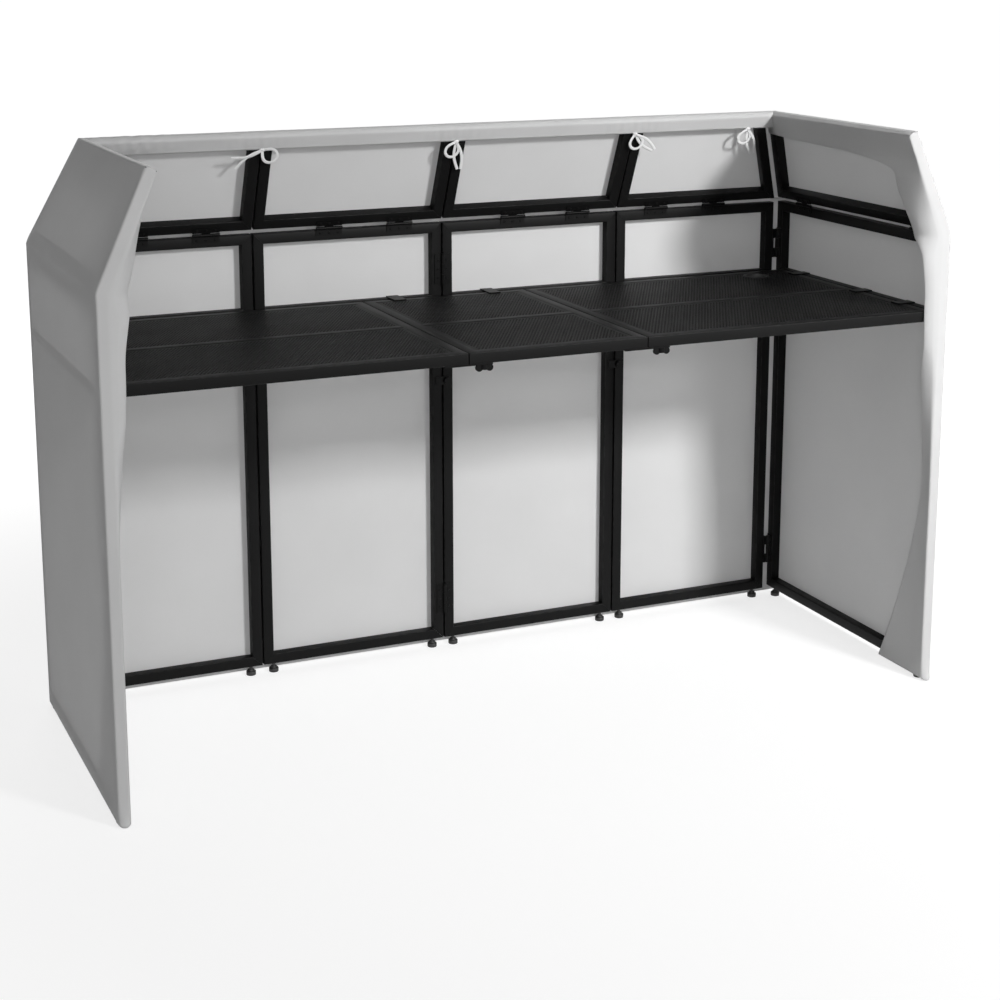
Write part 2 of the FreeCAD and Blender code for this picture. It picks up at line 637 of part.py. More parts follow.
def build_table():
    """Three table sections, their sheets and what joins and carries them."""
    left_start = f"-{TABLE_END}"
    centre_start = "-Sizes.centre_table_width / 2"
    export(table_frame("table_frame_left", SIDE_TABLE_WIDTH, left_start, False), "table_frame_left")
    centre = table_frame("table_frame_centre", "Sizes.centre_table_width", centre_start, True)
    export(centre, "table_frame_centre")
    export(table_frame("table_frame_right", SIDE_TABLE_WIDTH, SIDE_TABLE_START, True), "table_frame_right")

    grommet_x = f"({TABLE_END} - Sizes.grommet_end_inset)"
    grommet_y = f"({TABLE_REAR} - Sizes.grommet_rear_inset)"
    sheet_top = "(Sizes.table_height - Sizes.sheet_drop)"
    hole = cylinder(
        "grommet_hole", "Sizes.grommet_radius + Sizes.running_clearance", "Sizes.tube",
        grommet_x, grommet_y, "Sizes.table_height - Sizes.tube")
    right_sheets = table_sheets(
        "table_sheet_right", SIDE_TABLE_WIDTH, SIDE_TABLE_START, SIDE_OPENINGS, hole)
    export(right_sheets, "table_sheet_right")
    export(mirrored("table_sheet_left", right_sheets), "table_sheet_left")
    centre_sheets = table_sheets(
        "table_sheet_centre", "Sizes.centre_table_width", centre_start, CENTRE_OPENINGS)
    export(centre_sheets, "table_sheet_centre")

    flange = cylinder(
        "grommet_flange", "Sizes.grommet_radius + Sizes.grommet_flange", "Sizes.grommet_flange_thickness",
        grommet_x, grommet_y, sheet_top)
    sleeve = cylinder(
        "grommet_sleeve", "Sizes.grommet_radius", "Sizes.grommet_depth + Sizes.grommet_flange_thickness",
        grommet_x, grommet_y, f"{sheet_top} - Sizes.grommet_depth")
    bore = cylinder(
        "grommet_bore", "Sizes.grommet_radius - Sizes.grommet_wall",
        "Sizes.grommet_depth + Sizes.grommet_flange_thickness + 2 * Sizes.overrun",
        grommet_x, grommet_y, f"{sheet_top} - Sizes.grommet_depth - Sizes.overrun")
    grommet = cut("grommet_right", fuse("grommet_body", [flange, sleeve]), bore)
    export(group("cable_grommets", [grommet, mirrored("grommet_left", grommet)]), "cable_grommets")


def build_table_tongues():
    """Steel tongues on the table's edges that rest on the cross rails of the wall and the wings."""
    members = []
    for name, x in (("left", "-Sizes.rear_tongue_offset"), ("right", "Sizes.rear_tongue_offset")):
        plate = box(
            f"rear_tongue_{name}_plate", "Sizes.tongue_width",
            "Sizes.tube + Sizes.table_rear_gap + Sizes.tongue_reach", "Sizes.tongue_thickness",
            f"{x} - Sizes.tongue_width / 2", f"{TABLE_REAR} - Sizes.tube", "Sizes.table_height")
        web = box(
            f"rear_tongue_{name}_web", "Sizes.tongue_width", "Sizes.tongue_web", "Sizes.tongue_web_depth",
            f"{x} - Sizes.tongue_width / 2", TABLE_REAR, "Sizes.table_height - Sizes.tongue_web_depth")
        members.append(fuse(f"rear_tongue_{name}", [plate, web]))
    for name, y in (("front", f"{TABLE_FRONT} + Sizes.side_tongue_front_inset"),
                    ("middle", f"{TABLE_FRONT} + Sizes.side_tongue_middle_inset"),
                    ("rear", f"{TABLE_REAR} - Sizes.side_tongue_rear_inset")):
        plate = box(
            f"side_tongue_{name}_plate", "Sizes.tube + Sizes.table_end_gap + Sizes.tongue_reach",
            "Sizes.tongue_width", "Sizes.tongue_thickness",
            f"{TABLE_END} - Sizes.tube", f"{y} - Sizes.tongue_width / 2", "Sizes.table_height")
        web = box(
            f"side_tongue_{name}_web", "Sizes.tongue_web", "Sizes.tongue_width", "Sizes.tongue_web_depth",
            TABLE_END, f"{y} - Sizes.tongue_width / 2", "Sizes.table_height - Sizes.tongue_web_depth")
        tongue = fuse(f"side_tongue_right_{name}", [plate, web])
        members.append(tongue)
        members.append(mirrored(f"side_tongue_left_{name}", tongue))
    export(group("table_tongues", members), "table_tongues")


def build_table_joints():
    """Plates under the seams of the table, and the two wing bolts that clamp them."""
    plate_z = "(Sizes.table_height - Sizes.tube - Sizes.joining_plate_thickness)"
    front_y = f"({TABLE_FRONT} + Sizes.tube / 2)"
    plates = []
    for side, seam in (("left", f"(-{SEAM_X})"), ("right", SEAM_X)):
        bolt_x = f"({seam} + Sizes.bolt_offset)"
        for row_name, y in (("front", TABLE_FRONT), ("rear", f"{TABLE_REAR} - Sizes.tube")):
            plate = box(
                f"joining_plate_{side}_{row_name}", "Sizes.joining_plate_length", "Sizes.tube",
                "Sizes.joining_plate_thickness", f"{seam} - Sizes.joining_plate_length / 2", y, plate_z)
            if row_name == "front":
                hole = cylinder(
                    f"joining_plate_{side}_hole", "Sizes.bolt_radius + Sizes.running_clearance",
                    "Sizes.joining_plate_thickness + 2 * Sizes.overrun", bolt_x, front_y,
                    f"{plate_z} - Sizes.overrun")
                plate = cut(f"joining_plate_{side}_drilled", plate, hole)
            plates.append(plate)
        name = f"wing_bolt_{side}"
        hub_z = f"({plate_z} - Sizes.running_clearance - Sizes.bolt_hub_height)"
        stem_length = "Sizes.bolt_hub_height + Sizes.joining_plate_thickness + Sizes.bolt_engagement"
        shapes = [
            cylinder(
                f"{name}_hub", "Sizes.bolt_hub_radius", "Sizes.bolt_hub_height", bolt_x, front_y, hub_z),
            cylinder(f"{name}_stem", "Sizes.bolt_radius", stem_length, bolt_x, front_y, hub_z),
        ]
        for ear, x in (("left", f"{bolt_x} - Sizes.bolt_ear_offset"),
                       ("right", f"{bolt_x} + Sizes.bolt_ear_offset")):
            shapes.append(cylinder(
                f"{name}_{ear}_ear", "Sizes.bolt_ear_radius", "Sizes.bolt_ear_thickness", x,
                f"{front_y} - Sizes.bolt_ear_thickness / 2",
                f"{hub_z} + Sizes.bolt_hub_height - Sizes.bolt_ear_radius", ALONG_Y))
        export(fuse(name, shapes), name)
    export(group("table_joining_plates", plates), "table_joining_plates")


# Faces of the cover, measured from the frames' own faces
COVER_FRONT = f"({WALL_OUT} + Sizes.cover_gap)"
COVER_SIDE = f"({WING_OUT} + Sizes.cover_gap)"
COVER_HEIGHT = f"({LOWER_TOP} + Sizes.cover_top_reach - Sizes.cover_floor_gap)"
COVER_REACH = f"({HALF_FRONT} + Sizes.cover_side_reach)"
NEAR_COVER = f"({NEAR_END} - Sizes.cover_gap - Sizes.cover_thickness)"
SKIN = "Sizes.cover_thickness"
WRAP_DEPTH = "(Sizes.tube + 2 * Sizes.cover_gap + 2 * Sizes.cover_thickness)"

# The same faces on a flap, measured from its hinge line
FLAP_OUTER = "(Sizes.barrel_radius + Sizes.tube + Sizes.cover_gap)"
FLAP_INNER = "(Sizes.barrel_radius - Sizes.cover_gap - Sizes.cover_thickness)"
FLAP_LOW = "(Sizes.flap_slit / 2 + Sizes.cover_gap)"
FLAP_TOP = "(Sizes.flap_slit / 2 + Sizes.flap_height + Sizes.cover_gap)"
FLAP_RISE = f"({FLAP_TOP} - {FLAP_LOW})"
HEM_LOW = f"({FLAP_TOP} - Sizes.rim_hem)"
FOLD_LOW = "(Sizes.cover_top_reach - Sizes.flap_slit / 2 + Sizes.cover_seam)"
BEND_Y = f"({FLAP_OUTER} * cos({LEAN}) - {FLAP_LOW} * sin({LEAN}))"
BEND_Z = f"({FLAP_OUTER} * sin({LEAN}) + {FLAP_LOW} * cos({LEAN}))"
WING_FLAP_START = f"({FAR_END} - {FLAP_PIN_Y} - {BEND_Y} + Sizes.cover_seam)"
WING_FLAP_END = f"({WING_LENGTH} + Sizes.cover_gap + Sizes.cover_thickness)"
STAND_UP = "rotation(vector(1; 0; 0); 90)"


def leaning_sheet(name, low, high, low_z, high_z, y):
    """Thin upright sheet between two heights, with its own span of X at each."""
    piece = wedge(name, low, high, ("0", f"{high_z} - {low_z}"), (f"-{SKIN}", "0"))
    return place(piece, "0", y, low_z, STAND_UP)


def fold_strip(name, start, length):
    """Narrow strip of cover across the slit under a flap, measured from the flap's hinge line."""
    back = f"({FLAP_OUTER} - {BEND_Y})"
    up = f"({BEND_Z} - {FOLD_LOW})"
    height = f"sqrt({back}^2 + {up}^2) - Sizes.cover_seam"
    strip = box(name, length, SKIN, height, start, FLAP_OUTER, FOLD_LOW)
    return place(strip, start, FLAP_OUTER, FOLD_LOW, f"rotation(vector(1; 0; 0); atan({back} / {up}))")


def build_front_cover():
    """Stretch cover of the front wall: lower sheet, and the upper sheet turned in over the flaps' rim."""
    lower = box(
        "cover_front_lower", f"2 * {COVER_REACH}", SKIN, COVER_HEIGHT,
        f"-{COVER_REACH}", COVER_FRONT, "Sizes.cover_floor_gap")
    export(lower, "cover_front_lower")
    top_half = f"({COVER_REACH} - {FLAP_RISE} * {SLOPE})"
    hem_half = f"({COVER_REACH} - ({HEM_LOW} - {FLAP_LOW}) * {SLOPE})"
    top_span = (f"-{top_half}", top_half)
    outer = leaning_sheet(
        "front_upper_sheet", (f"-{COVER_REACH}", COVER_REACH), top_span, FLAP_LOW, FLAP_TOP, FLAP_OUTER)
    hem_span = (f"-{hem_half}", hem_half)
    hem = leaning_sheet("front_upper_hem", hem_span, top_span, HEM_LOW, FLAP_TOP, FLAP_INNER)
    rim = box("front_upper_rim", f"2 * {top_half}", WRAP_DEPTH, SKIN, f"-{top_half}", FLAP_INNER, FLAP_TOP)
    upper = fuse("cover_front_upper", [outer, rim, hem])
    export(place(upper, "0", FLAP_PIN_Y, FLAP_PIN_Z, LEAN_TURN), "cover_front_upper")


def build_wing_lower_covers():
    """Cover of each standing wing: outer sheet, near strip and an inside hem with a scooped edge."""
    floor = "Sizes.cover_floor_gap"
    inner_face = f"({WING_IN} - Sizes.cover_gap - {SKIN})"
    outer = box(
        "wing_lower_sheet", SKIN, f"{FAR_END} - {NEAR_COVER}", COVER_HEIGHT, COVER_SIDE, NEAR_COVER, floor)
    strip = box("wing_lower_strip", WRAP_DEPTH, SKIN, COVER_HEIGHT, inner_face, NEAR_COVER, floor)
    hem_top = f"({FLAP_PIN_Z} - Sizes.flap_hinge_leaf - Sizes.cover_seam)"
    plate = box(
        "wing_hem_plate", SKIN, "Sizes.wing_hem_width", f"{hem_top} - {floor}",
        inner_face, NEAR_COVER, floor)
    scoop = cylinder(
        "wing_hem_scoop", "Sizes.wing_hem_radius", f"{SKIN} + 2 * Sizes.overrun",
        f"{inner_face} - Sizes.overrun", f"{NEAR_COVER} + Sizes.wing_hem_waist + Sizes.wing_hem_radius",
        "Sizes.wing_hem_waist_height", ALONG_X)
    lower = fuse("cover_right_lower", [outer, strip, cut("wing_hem", plate, scoop)])
    export(lower, "cover_right_lower")
    export(mirrored("cover_left_lower", lower), "cover_left_lower")


def build_wing_upper_covers():
    """Cover of each wing flap: outer sheet, rim, near strip and the hems turned in behind them."""
    top_start = f"({WING_FLAP_START} + {FLAP_RISE} * {SLOPE})"
    hem_start = f"({WING_FLAP_START} + ({HEM_LOW} - {FLAP_LOW}) * {SLOPE})"
    top_span = (top_start, WING_FLAP_END)
    outer = leaning_sheet(
        "wing_upper_sheet", (WING_FLAP_START, WING_FLAP_END), top_span, FLAP_LOW, FLAP_TOP, FLAP_OUTER)
    hem_span = (hem_start, WING_FLAP_END)
    hem = leaning_sheet("wing_upper_hem", hem_span, top_span, HEM_LOW, FLAP_TOP, FLAP_INNER)
    rim = box(
        "wing_upper_rim", f"{WING_FLAP_END} - {top_start}", WRAP_DEPTH, SKIN,
        top_start, FLAP_INNER, FLAP_TOP)
    strip = box(
        "wing_upper_strip", SKIN, WRAP_DEPTH, FLAP_RISE, f"{WING_FLAP_END} - {SKIN}", FLAP_INNER, FLAP_LOW)
    near_low = "(Sizes.flap_hinge_leaf + Sizes.cover_seam)"
    near_hem = box(
        "wing_upper_near_hem", "Sizes.flap_hem", SKIN, f"{FLAP_TOP} - {near_low}",
        f"{WING_FLAP_END} - Sizes.flap_hem", FLAP_INNER, near_low)
    upper = fuse("cover_right_upper", [outer, hem, rim, strip, near_hem])
    export(place(upper, WING_PIN_X, FAR_END, FLAP_PIN_Z, WING_LEAN_TURN), "cover_right_upper")
    export(mirrored("cover_left_upper", upper), "cover_left_upper")


def build_cover_bends():
    """Strips of the cover that bend: round the corners and across the slit under the flaps."""
    floor = "Sizes.cover_floor_gap"
    front_end = f"({COVER_REACH} + Sizes.cover_seam)"
    side_start = f"({FAR_END} + Sizes.cover_seam)"
    corner_x = f"({COVER_SIDE} + {SKIN})"
    corner_y = f"({COVER_FRONT} + {SKIN})"
    lower = fuse("corner_lower_right", [
        box("corner_lower_front", f"{corner_x} - {front_end}", SKIN, COVER_HEIGHT,
            front_end, COVER_FRONT, floor),
        box("corner_lower_side", SKIN, f"{corner_y} - {side_start}", COVER_HEIGHT,
            COVER_SIDE, side_start, floor),
    ])
    inward = f"{FLAP_RISE} * {SLOPE}"
    corner_reach = f"({WING_PIN_X} + {BEND_Y})"
    upper = leaning_sheet(
        "corner_upper_right", (front_end, corner_reach),
        (f"{front_end} - {inward}", f"{corner_reach} - {inward}"), FLAP_LOW, FLAP_TOP, FLAP_OUTER)
    leaning = group("corner_upper_leaning", [upper], "0", FLAP_PIN_Y, FLAP_PIN_Z, LEAN_TURN)
    front_fold = fold_strip("front_fold", f"-{COVER_REACH}", f"2 * {COVER_REACH}")
    bends = [
        lower, mirrored("corner_lower_left", lower), leaning, mirrored("corner_upper_left", leaning),
        group("front_fold_placed", [front_fold], "0", FLAP_PIN_Y, FLAP_PIN_Z),
    ]
    export(group("cover_seams", bends), "cover_seams")

    wing_fold = fold_strip("wing_fold", WING_FLAP_START, f"{WING_FLAP_END} - {WING_FLAP_START}")
    right = group("cover_fold_right", [wing_fold], WING_PIN_X, FAR_END, FLAP_PIN_Z, WING_TURN)
    export(right, "cover_fold_right")
    export(mirrored("cover_fold_left", right), "cover_fold_left")


# Directions of each bow's loop and of its two tails in the plane of the hem, in degrees up from +X
BOW_DEGREES = {1: (-35, 195, 212), 2: (-115, -70, -85), 3: (-75, -30, -45), 4: (250, -60, -76)}


def build_bows():
    """Four tied bows of flat lace on the inside of the front rim, at the flap joints and in one corner."""
    fold = "(Sizes.mid_panel_width + Sizes.panel_gap)"
    knot_z = f"({FLAP_TOP} - Sizes.bow_drop)"
    corner_x = f"({HALF_FRONT} - {knot_z} * {SLOPE} - Sizes.bow_corner_inset)"
    lace = "Sizes.bow_lace_thickness"
    lace_y = f"({FLAP_INNER} - Sizes.bow_seat - {lace})"
    places = {1: f"(-{fold})", 2: "0", 3: fold, 4: corner_x}
    for number, (loop_turn, *tail_turns) in BOW_DEGREES.items():
        x = places[number]
        name = f"tie_bow_{number}"
        knot = cylinder(
            f"{name}_knot", "Sizes.bow_knot_radius", "Sizes.bow_knot_thickness", x,
            f"{FLAP_INNER} - Sizes.bow_seat - Sizes.bow_knot_thickness", knot_z, ALONG_Y)
        loop_x = f"{x} + Sizes.bow_loop_radius * cos({loop_turn} deg)"
        loop_z = f"{knot_z} + Sizes.bow_loop_radius * sin({loop_turn} deg)"
        half_lace = "Sizes.bow_lace_width / 2"
        outside = cylinder(
            f"{name}_loop_outside", f"Sizes.bow_loop_radius + {half_lace}", lace,
            loop_x, lace_y, loop_z, ALONG_Y)
        inside = cylinder(
            f"{name}_loop_inside", f"Sizes.bow_loop_radius - {half_lace}", f"{lace} + 2 * Sizes.overrun",
            loop_x, f"{lace_y} - Sizes.overrun", loop_z, ALONG_Y)
        pieces = [knot, cut(f"{name}_loop", outside, inside)]
        for tail_turn in tail_turns:
            tail = box(
                f"{name}_tail_{len(pieces)}", "Sizes.bow_lace_width", lace, "Sizes.bow_tail", "0", "0", "0")
            turn = f"rotation(vector(0; 1; 0); {90 - tail_turn})"
            pieces.append(place(
                tail, f"{x} - {half_lace} * sin({tail_turn} deg)", lace_y,
                f"{knot_z} + {half_lace} * cos({tail_turn} deg)", turn))
        bow = fuse(name, pieces)
        export(place(bow, "0", FLAP_PIN_Y, FLAP_PIN_Z, LEAN_TURN), name)


def check_and_write():
    """Recompute, refuse anything that failed, and write one file for each sub-part."""
    doc.recompute()
    failed = [obj.Name for obj in doc.Objects if "Invalid" in obj.State or "Error" in obj.State]
    if failed:
        raise RuntimeError(f"failed objects: {failed}")
    for obj in exported:
        if obj.Shape.isNull() or not obj.Shape.isValid():
            raise RuntimeError(f"bad shape: {obj.Label}")
    os.makedirs("parts", exist_ok=True)
    for obj in exported:
        obj.Shape.exportStep(os.path.join("parts", f"{obj.Label}.step"))
    print(f"{len(exported)} sub-parts written")


build_front_panels()
build_wings()
build_flap_hinges()
build_panel_hinges()
build_corner_hinges()
build_latches()
build_feet()
build_table()
build_table_tongues()
build_table_joints()
build_front_cover()
build_wing_lower_covers()
build_wing_upper_covers()
build_cover_bends()
build_bows()
check_and_write()
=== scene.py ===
"""Folding DJ booth in a studio: square-tube frames, a perforated table and a white stretch cover.

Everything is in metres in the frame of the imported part: X runs along the front wall, +Y points at
the audience, +Z is up, and the origin lies on the floor under the middle of the booth.
"""

import logging
import math
from dataclasses import dataclass
from enum import Enum
from typing import Callable, Sequence

import bmesh
import bpy
import numpy as np
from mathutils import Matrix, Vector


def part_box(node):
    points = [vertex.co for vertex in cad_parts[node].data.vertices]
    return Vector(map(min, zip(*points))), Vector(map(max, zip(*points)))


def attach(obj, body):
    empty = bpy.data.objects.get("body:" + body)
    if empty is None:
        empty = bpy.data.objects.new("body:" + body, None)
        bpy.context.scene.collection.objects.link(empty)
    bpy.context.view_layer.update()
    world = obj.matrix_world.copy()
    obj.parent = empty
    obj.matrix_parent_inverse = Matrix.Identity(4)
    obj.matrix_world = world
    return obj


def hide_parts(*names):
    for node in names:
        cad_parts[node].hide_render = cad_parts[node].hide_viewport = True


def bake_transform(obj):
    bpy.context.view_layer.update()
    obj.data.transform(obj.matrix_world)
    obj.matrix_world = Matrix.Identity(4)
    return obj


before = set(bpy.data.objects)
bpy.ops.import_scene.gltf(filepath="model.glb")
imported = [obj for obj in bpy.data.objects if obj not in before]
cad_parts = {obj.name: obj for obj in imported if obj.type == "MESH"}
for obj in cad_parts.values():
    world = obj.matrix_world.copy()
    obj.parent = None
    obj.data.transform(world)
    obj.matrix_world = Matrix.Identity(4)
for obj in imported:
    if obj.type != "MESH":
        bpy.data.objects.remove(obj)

log = logging.getLogger("dj_booth")
Array = np.ndarray
WELD = 2e-5


class Side(Enum):
    """The two ends of the booth, as the sign of X."""

    LEFT = -1
    RIGHT = 1

    @property
    def label(self) -> str:
        """Name of the side in piece and body names."""
        return self.name.lower()


@dataclass(frozen=True)
class BoothSizes:
    """Sizes that the sub-assemblies share."""

    tube: float = 0.025
    gap: float = 0.004
    mid_width: float = 0.476
    half_front: float = 0.948
    wall_inside: float = 0.3325
    wall_outside: float = 0.3575
    wing_inside: float = 0.973
    wing_outside: float = 0.998
    near_end: float = -0.3575
    far_end: float = 0.3545
    low: float = 0.024
    top: float = 1.094
    barrel: float = 0.004
    slit: float = 0.009
    flap_height: float = 0.25
    lean: float = math.radians(24)
    pin_y: float = 0.3285
    wing_pin_x: float = 0.969
    pin_z: float = 1.0985
    table_top: float = 0.916
    table_front: float = -0.3395
    table_rear: float = 0.3175
    table_end: float = 0.970
    table_seam: float = 0.2135
    table_gap: float = 0.001
    grommet_x: float = 0.85
    grommet_y: float = 0.2525
    wing_flap_setback: float = 0.003

    @property
    def fold_x(self) -> float:
        """Place of the outer joints between the wall's panels, where two of the laces are tied."""
        return self.mid_width + self.gap

    @property
    def wing_length(self) -> float:
        """Length of a wing, from its far end to its near one."""
        return self.far_end - self.near_end

    @property
    def slope(self) -> float:
        """Run of a leaning edge across the flap for each metre up it."""
        return math.sin(self.lean)

    def leaning(self, depth: Array | float, height: Array | float) -> tuple[Array, Array]:
        """Turn a flap's own depth and height inwards about its hinge line.

        Args:
            depth: distance outwards from the hinge line, square to the flap.
            height: distance up the flap from the hinge line.

        Returns:
            The distance outwards from the hinge line, level, and the height above the floor.
        """
        out = depth * math.cos(self.lean) - height * math.sin(self.lean)
        rise = depth * math.sin(self.lean) + height * math.cos(self.lean)
        return out, self.pin_z + rise


SIZES = BoothSizes()


class Surface:
    """Grids and faces gathered into one mesh."""

    def __init__(self) -> None:
        """Start with nothing."""
        self.points: list[Array] = []
        self.uvs: list[Array] = []
        self.edge_shares: list[Array] = []
        self.faces: list[list[int]] = []
        self.count = 0

    def add_points(self, points: Array, uv: Array | None = None, edge_share: Array | None = None) -> int:
        """Add loose points.

        Args:
            points: places, any shape that ends in three.
            uv: the same points on the flat cloth or sheet, ending in two.
            edge_share: how far out on a tube's rounded corner each point is, or how near to a hem's edge,
                from 0 to 1.

        Returns:
            The number of the first of them.
        """
        flat = np.asarray(points, float).reshape(-1, 3)
        first = self.count
        self.points.append(flat)
        self.uvs.append(flat[:, :2] if uv is None else np.asarray(uv, float).reshape(-1, 2))
        self.edge_shares.append(np.zeros(len(flat)) if edge_share is None else np.asarray(edge_share, float).ravel())
        self.count += len(flat)
        return first

    def add_grid(self, points: Array, uv: Array | None = None, edge_share: Array | None = None,
                 wrap: bool = False, flip: bool = False) -> int:
        """Add a grid of quads, rows by columns.

        Args:
            points: places, rows by columns by three.
            uv: flat places, rows by columns by two.
            edge_share: rows by columns.
            wrap: join the last column to the first.
            flip: turn the faces over.

        Returns:
            The number of the grid's first point.
        """
        rows, columns = points.shape[:2]
        first = self.add_points(points, uv, edge_share)
        index = np.arange(rows * columns).reshape(rows, columns) + first
        if wrap:
            index = np.concatenate([index, index[:, :1]], axis=1)
        corners = [index[:-1, :-1], index[:-1, 1:], index[1:, 1:], index[1:, :-1]]
        if flip:
            corners.reverse()
        self.faces.extend(np.stack(corners, -1).reshape(-1, 4).tolist())
        return first

    def add_faces(self, faces: Array, first: int = 0) -> None:
        """Add faces of one kind, as rows of point numbers counted from first."""
        self.faces.extend((np.asarray(faces) + first).tolist())

    def build(self, name: str, sharp_degrees: float = 40.0, recalculate: bool = False) -> bpy.types.Object:
        """Make the object, with points that lie in one place merged.

        Args:
            name: the piece's name.
            sharp_degrees: edges that turn more than this stay sharp.
            recalculate: turn all faces outwards.

        Returns:
            The new object, at the origin.
        """
        mesh = bpy.data.meshes.new(name)
        places = np.concatenate(self.points)
        mesh.from_pydata(places.tolist(), [], self.faces)
        flat = np.concatenate(self.uvs)
        loops = np.empty(len(mesh.loops), np.int32)
        mesh.loops.foreach_get("vertex_index", loops)
        mesh.uv_layers.new(name="cloth").data.foreach_set("uv", flat[loops].astype(np.float32).ravel())
        edge_share = mesh.attributes.new("edge_share", "FLOAT", "POINT")
        edge_share.data.foreach_set("value", np.concatenate(self.edge_shares).astype(np.float32))
        shape = bmesh.new()
        shape.from_mesh(mesh)
        bmesh.ops.remove_doubles(shape, verts=shape.verts, dist=WELD)
        if recalculate:
            bmesh.ops.recalc_face_normals(shape, faces=shape.faces)
        shape.to_mesh(mesh)
        shape.free()
        mesh.shade_smooth()
        mesh.set_sharp_from_angle(angle=math.radians(sharp_degrees))
        piece = bpy.data.objects.new(name, mesh)
        bpy.context.scene.collection.objects.link(piece)
        return piece


def lathe(profile: Array, centres: Array, segments: int) -> Surface:
    """Turned shapes: each profile point (r, z) goes round a circle of radius r at height z.

    Args:
        profile: rows of radius and height.
        centres: rows of x, y, z where the turned shapes stand.
        segments: steps round the circle.

    Returns:
        One surface with a copy at each centre.
    """
    angle = np.linspace(0.0, 2 * math.pi, segments, endpoint=False)
    ring = np.stack([np.cos(angle), np.sin(angle)], -1)
    around = profile[:, :1, None] * ring[None]
    height = np.broadcast_to(profile[:, 1:2], (len(profile), segments))
    shape = np.concatenate([around, height[..., None]], -1)
    surface = Surface()
    for centre in centres:
        surface.add_grid(shape + centre, wrap=True)
    return surface


def rounded_square(size: float, radius: float, steps: int) -> tuple[Array, Array]:
    """Square with round corners: each corner is a quarter circle about a point set in by the radius.

    Args:
        size: side of the square, whose low corner is at zero.
        radius: radius of the corners.
        steps: points on each corner.

    Returns:
        The points, and how far each one is out on a corner, from 0 to 1.
    """
    turn = np.linspace(0.0, 0.5 * math.pi, steps)
    start = np.arange(4)[:, None] * 0.5 * math.pi
    angle = start + turn
    middle = np.stack([np.sign(np.cos(start + 0.25 * math.pi)), np.sign(np.sin(start + 0.25 * math.pi))], -1)
    centre = 0.5 * size + middle * (0.5 * size - radius)
    points = centre + radius * np.stack([np.cos(angle), np.sin(angle)], -1)
    out = np.broadcast_to(np.sin(2 * turn), angle.shape)
    return points.reshape(-1, 2), out.reshape(-1)


class NodeTree:
    """A material's nodes, added and wired by short calls."""

    def __init__(self, name: str) -> None:
        """Start an empty material.

        Args:
            name: the material's name.
        """
        self.material = bpy.data.materials.new(name)
        self.material.use_nodes = True
        self.tree = self.material.node_tree
        self.tree.nodes.clear()

    def add(self, kind: str, links: dict | None = None, **settings: object) -> bpy.types.Node:
        """Add a node.

        Args:
            kind: Blender's name of the node type.
            links: input name or number to a constant or to another node's output.
            settings: properties of the node.

        Returns:
            The node.
        """
        node = self.tree.nodes.new(kind)
        for name, value in settings.items():
            setattr(node, name, value)
        for name, value in (links or {}).items():
            if isinstance(value, bpy.types.NodeSocket):
                self.tree.links.new(value, node.inputs[name])
            else:
                node.inputs[name].default_value = value
        return node

    def blend(self, share: bpy.types.NodeSocket, low: tuple, high: tuple) -> bpy.types.NodeSocket:
        """A colour between two.

        Args:
            share: output that runs from 0 to 1.
            low: colour at 0.
            high: colour at 1.

        Returns:
            The colour's output.
        """
        ramp = self.add("ShaderNodeValToRGB", {0: share})
        ramp.color_ramp.elements[0].color = low
        ramp.color_ramp.elements[1].color = high
        return ramp.outputs["Color"]

    def finish(self, shader: bpy.types.NodeSocket) -> bpy.types.Material:
        """Wire the last shader to the surface."""
        self.add("ShaderNodeOutputMaterial", {"Surface": shader})
        return self.material


def grey(value: float) -> tuple[float, float, float, float]:
    """A neutral colour."""
    return (value, value, value, 1.0)


def bands(width: float) -> float:
    """Scale of a wave texture whose bands are this wide, in metres."""
    return 1.0 / width / 3.14


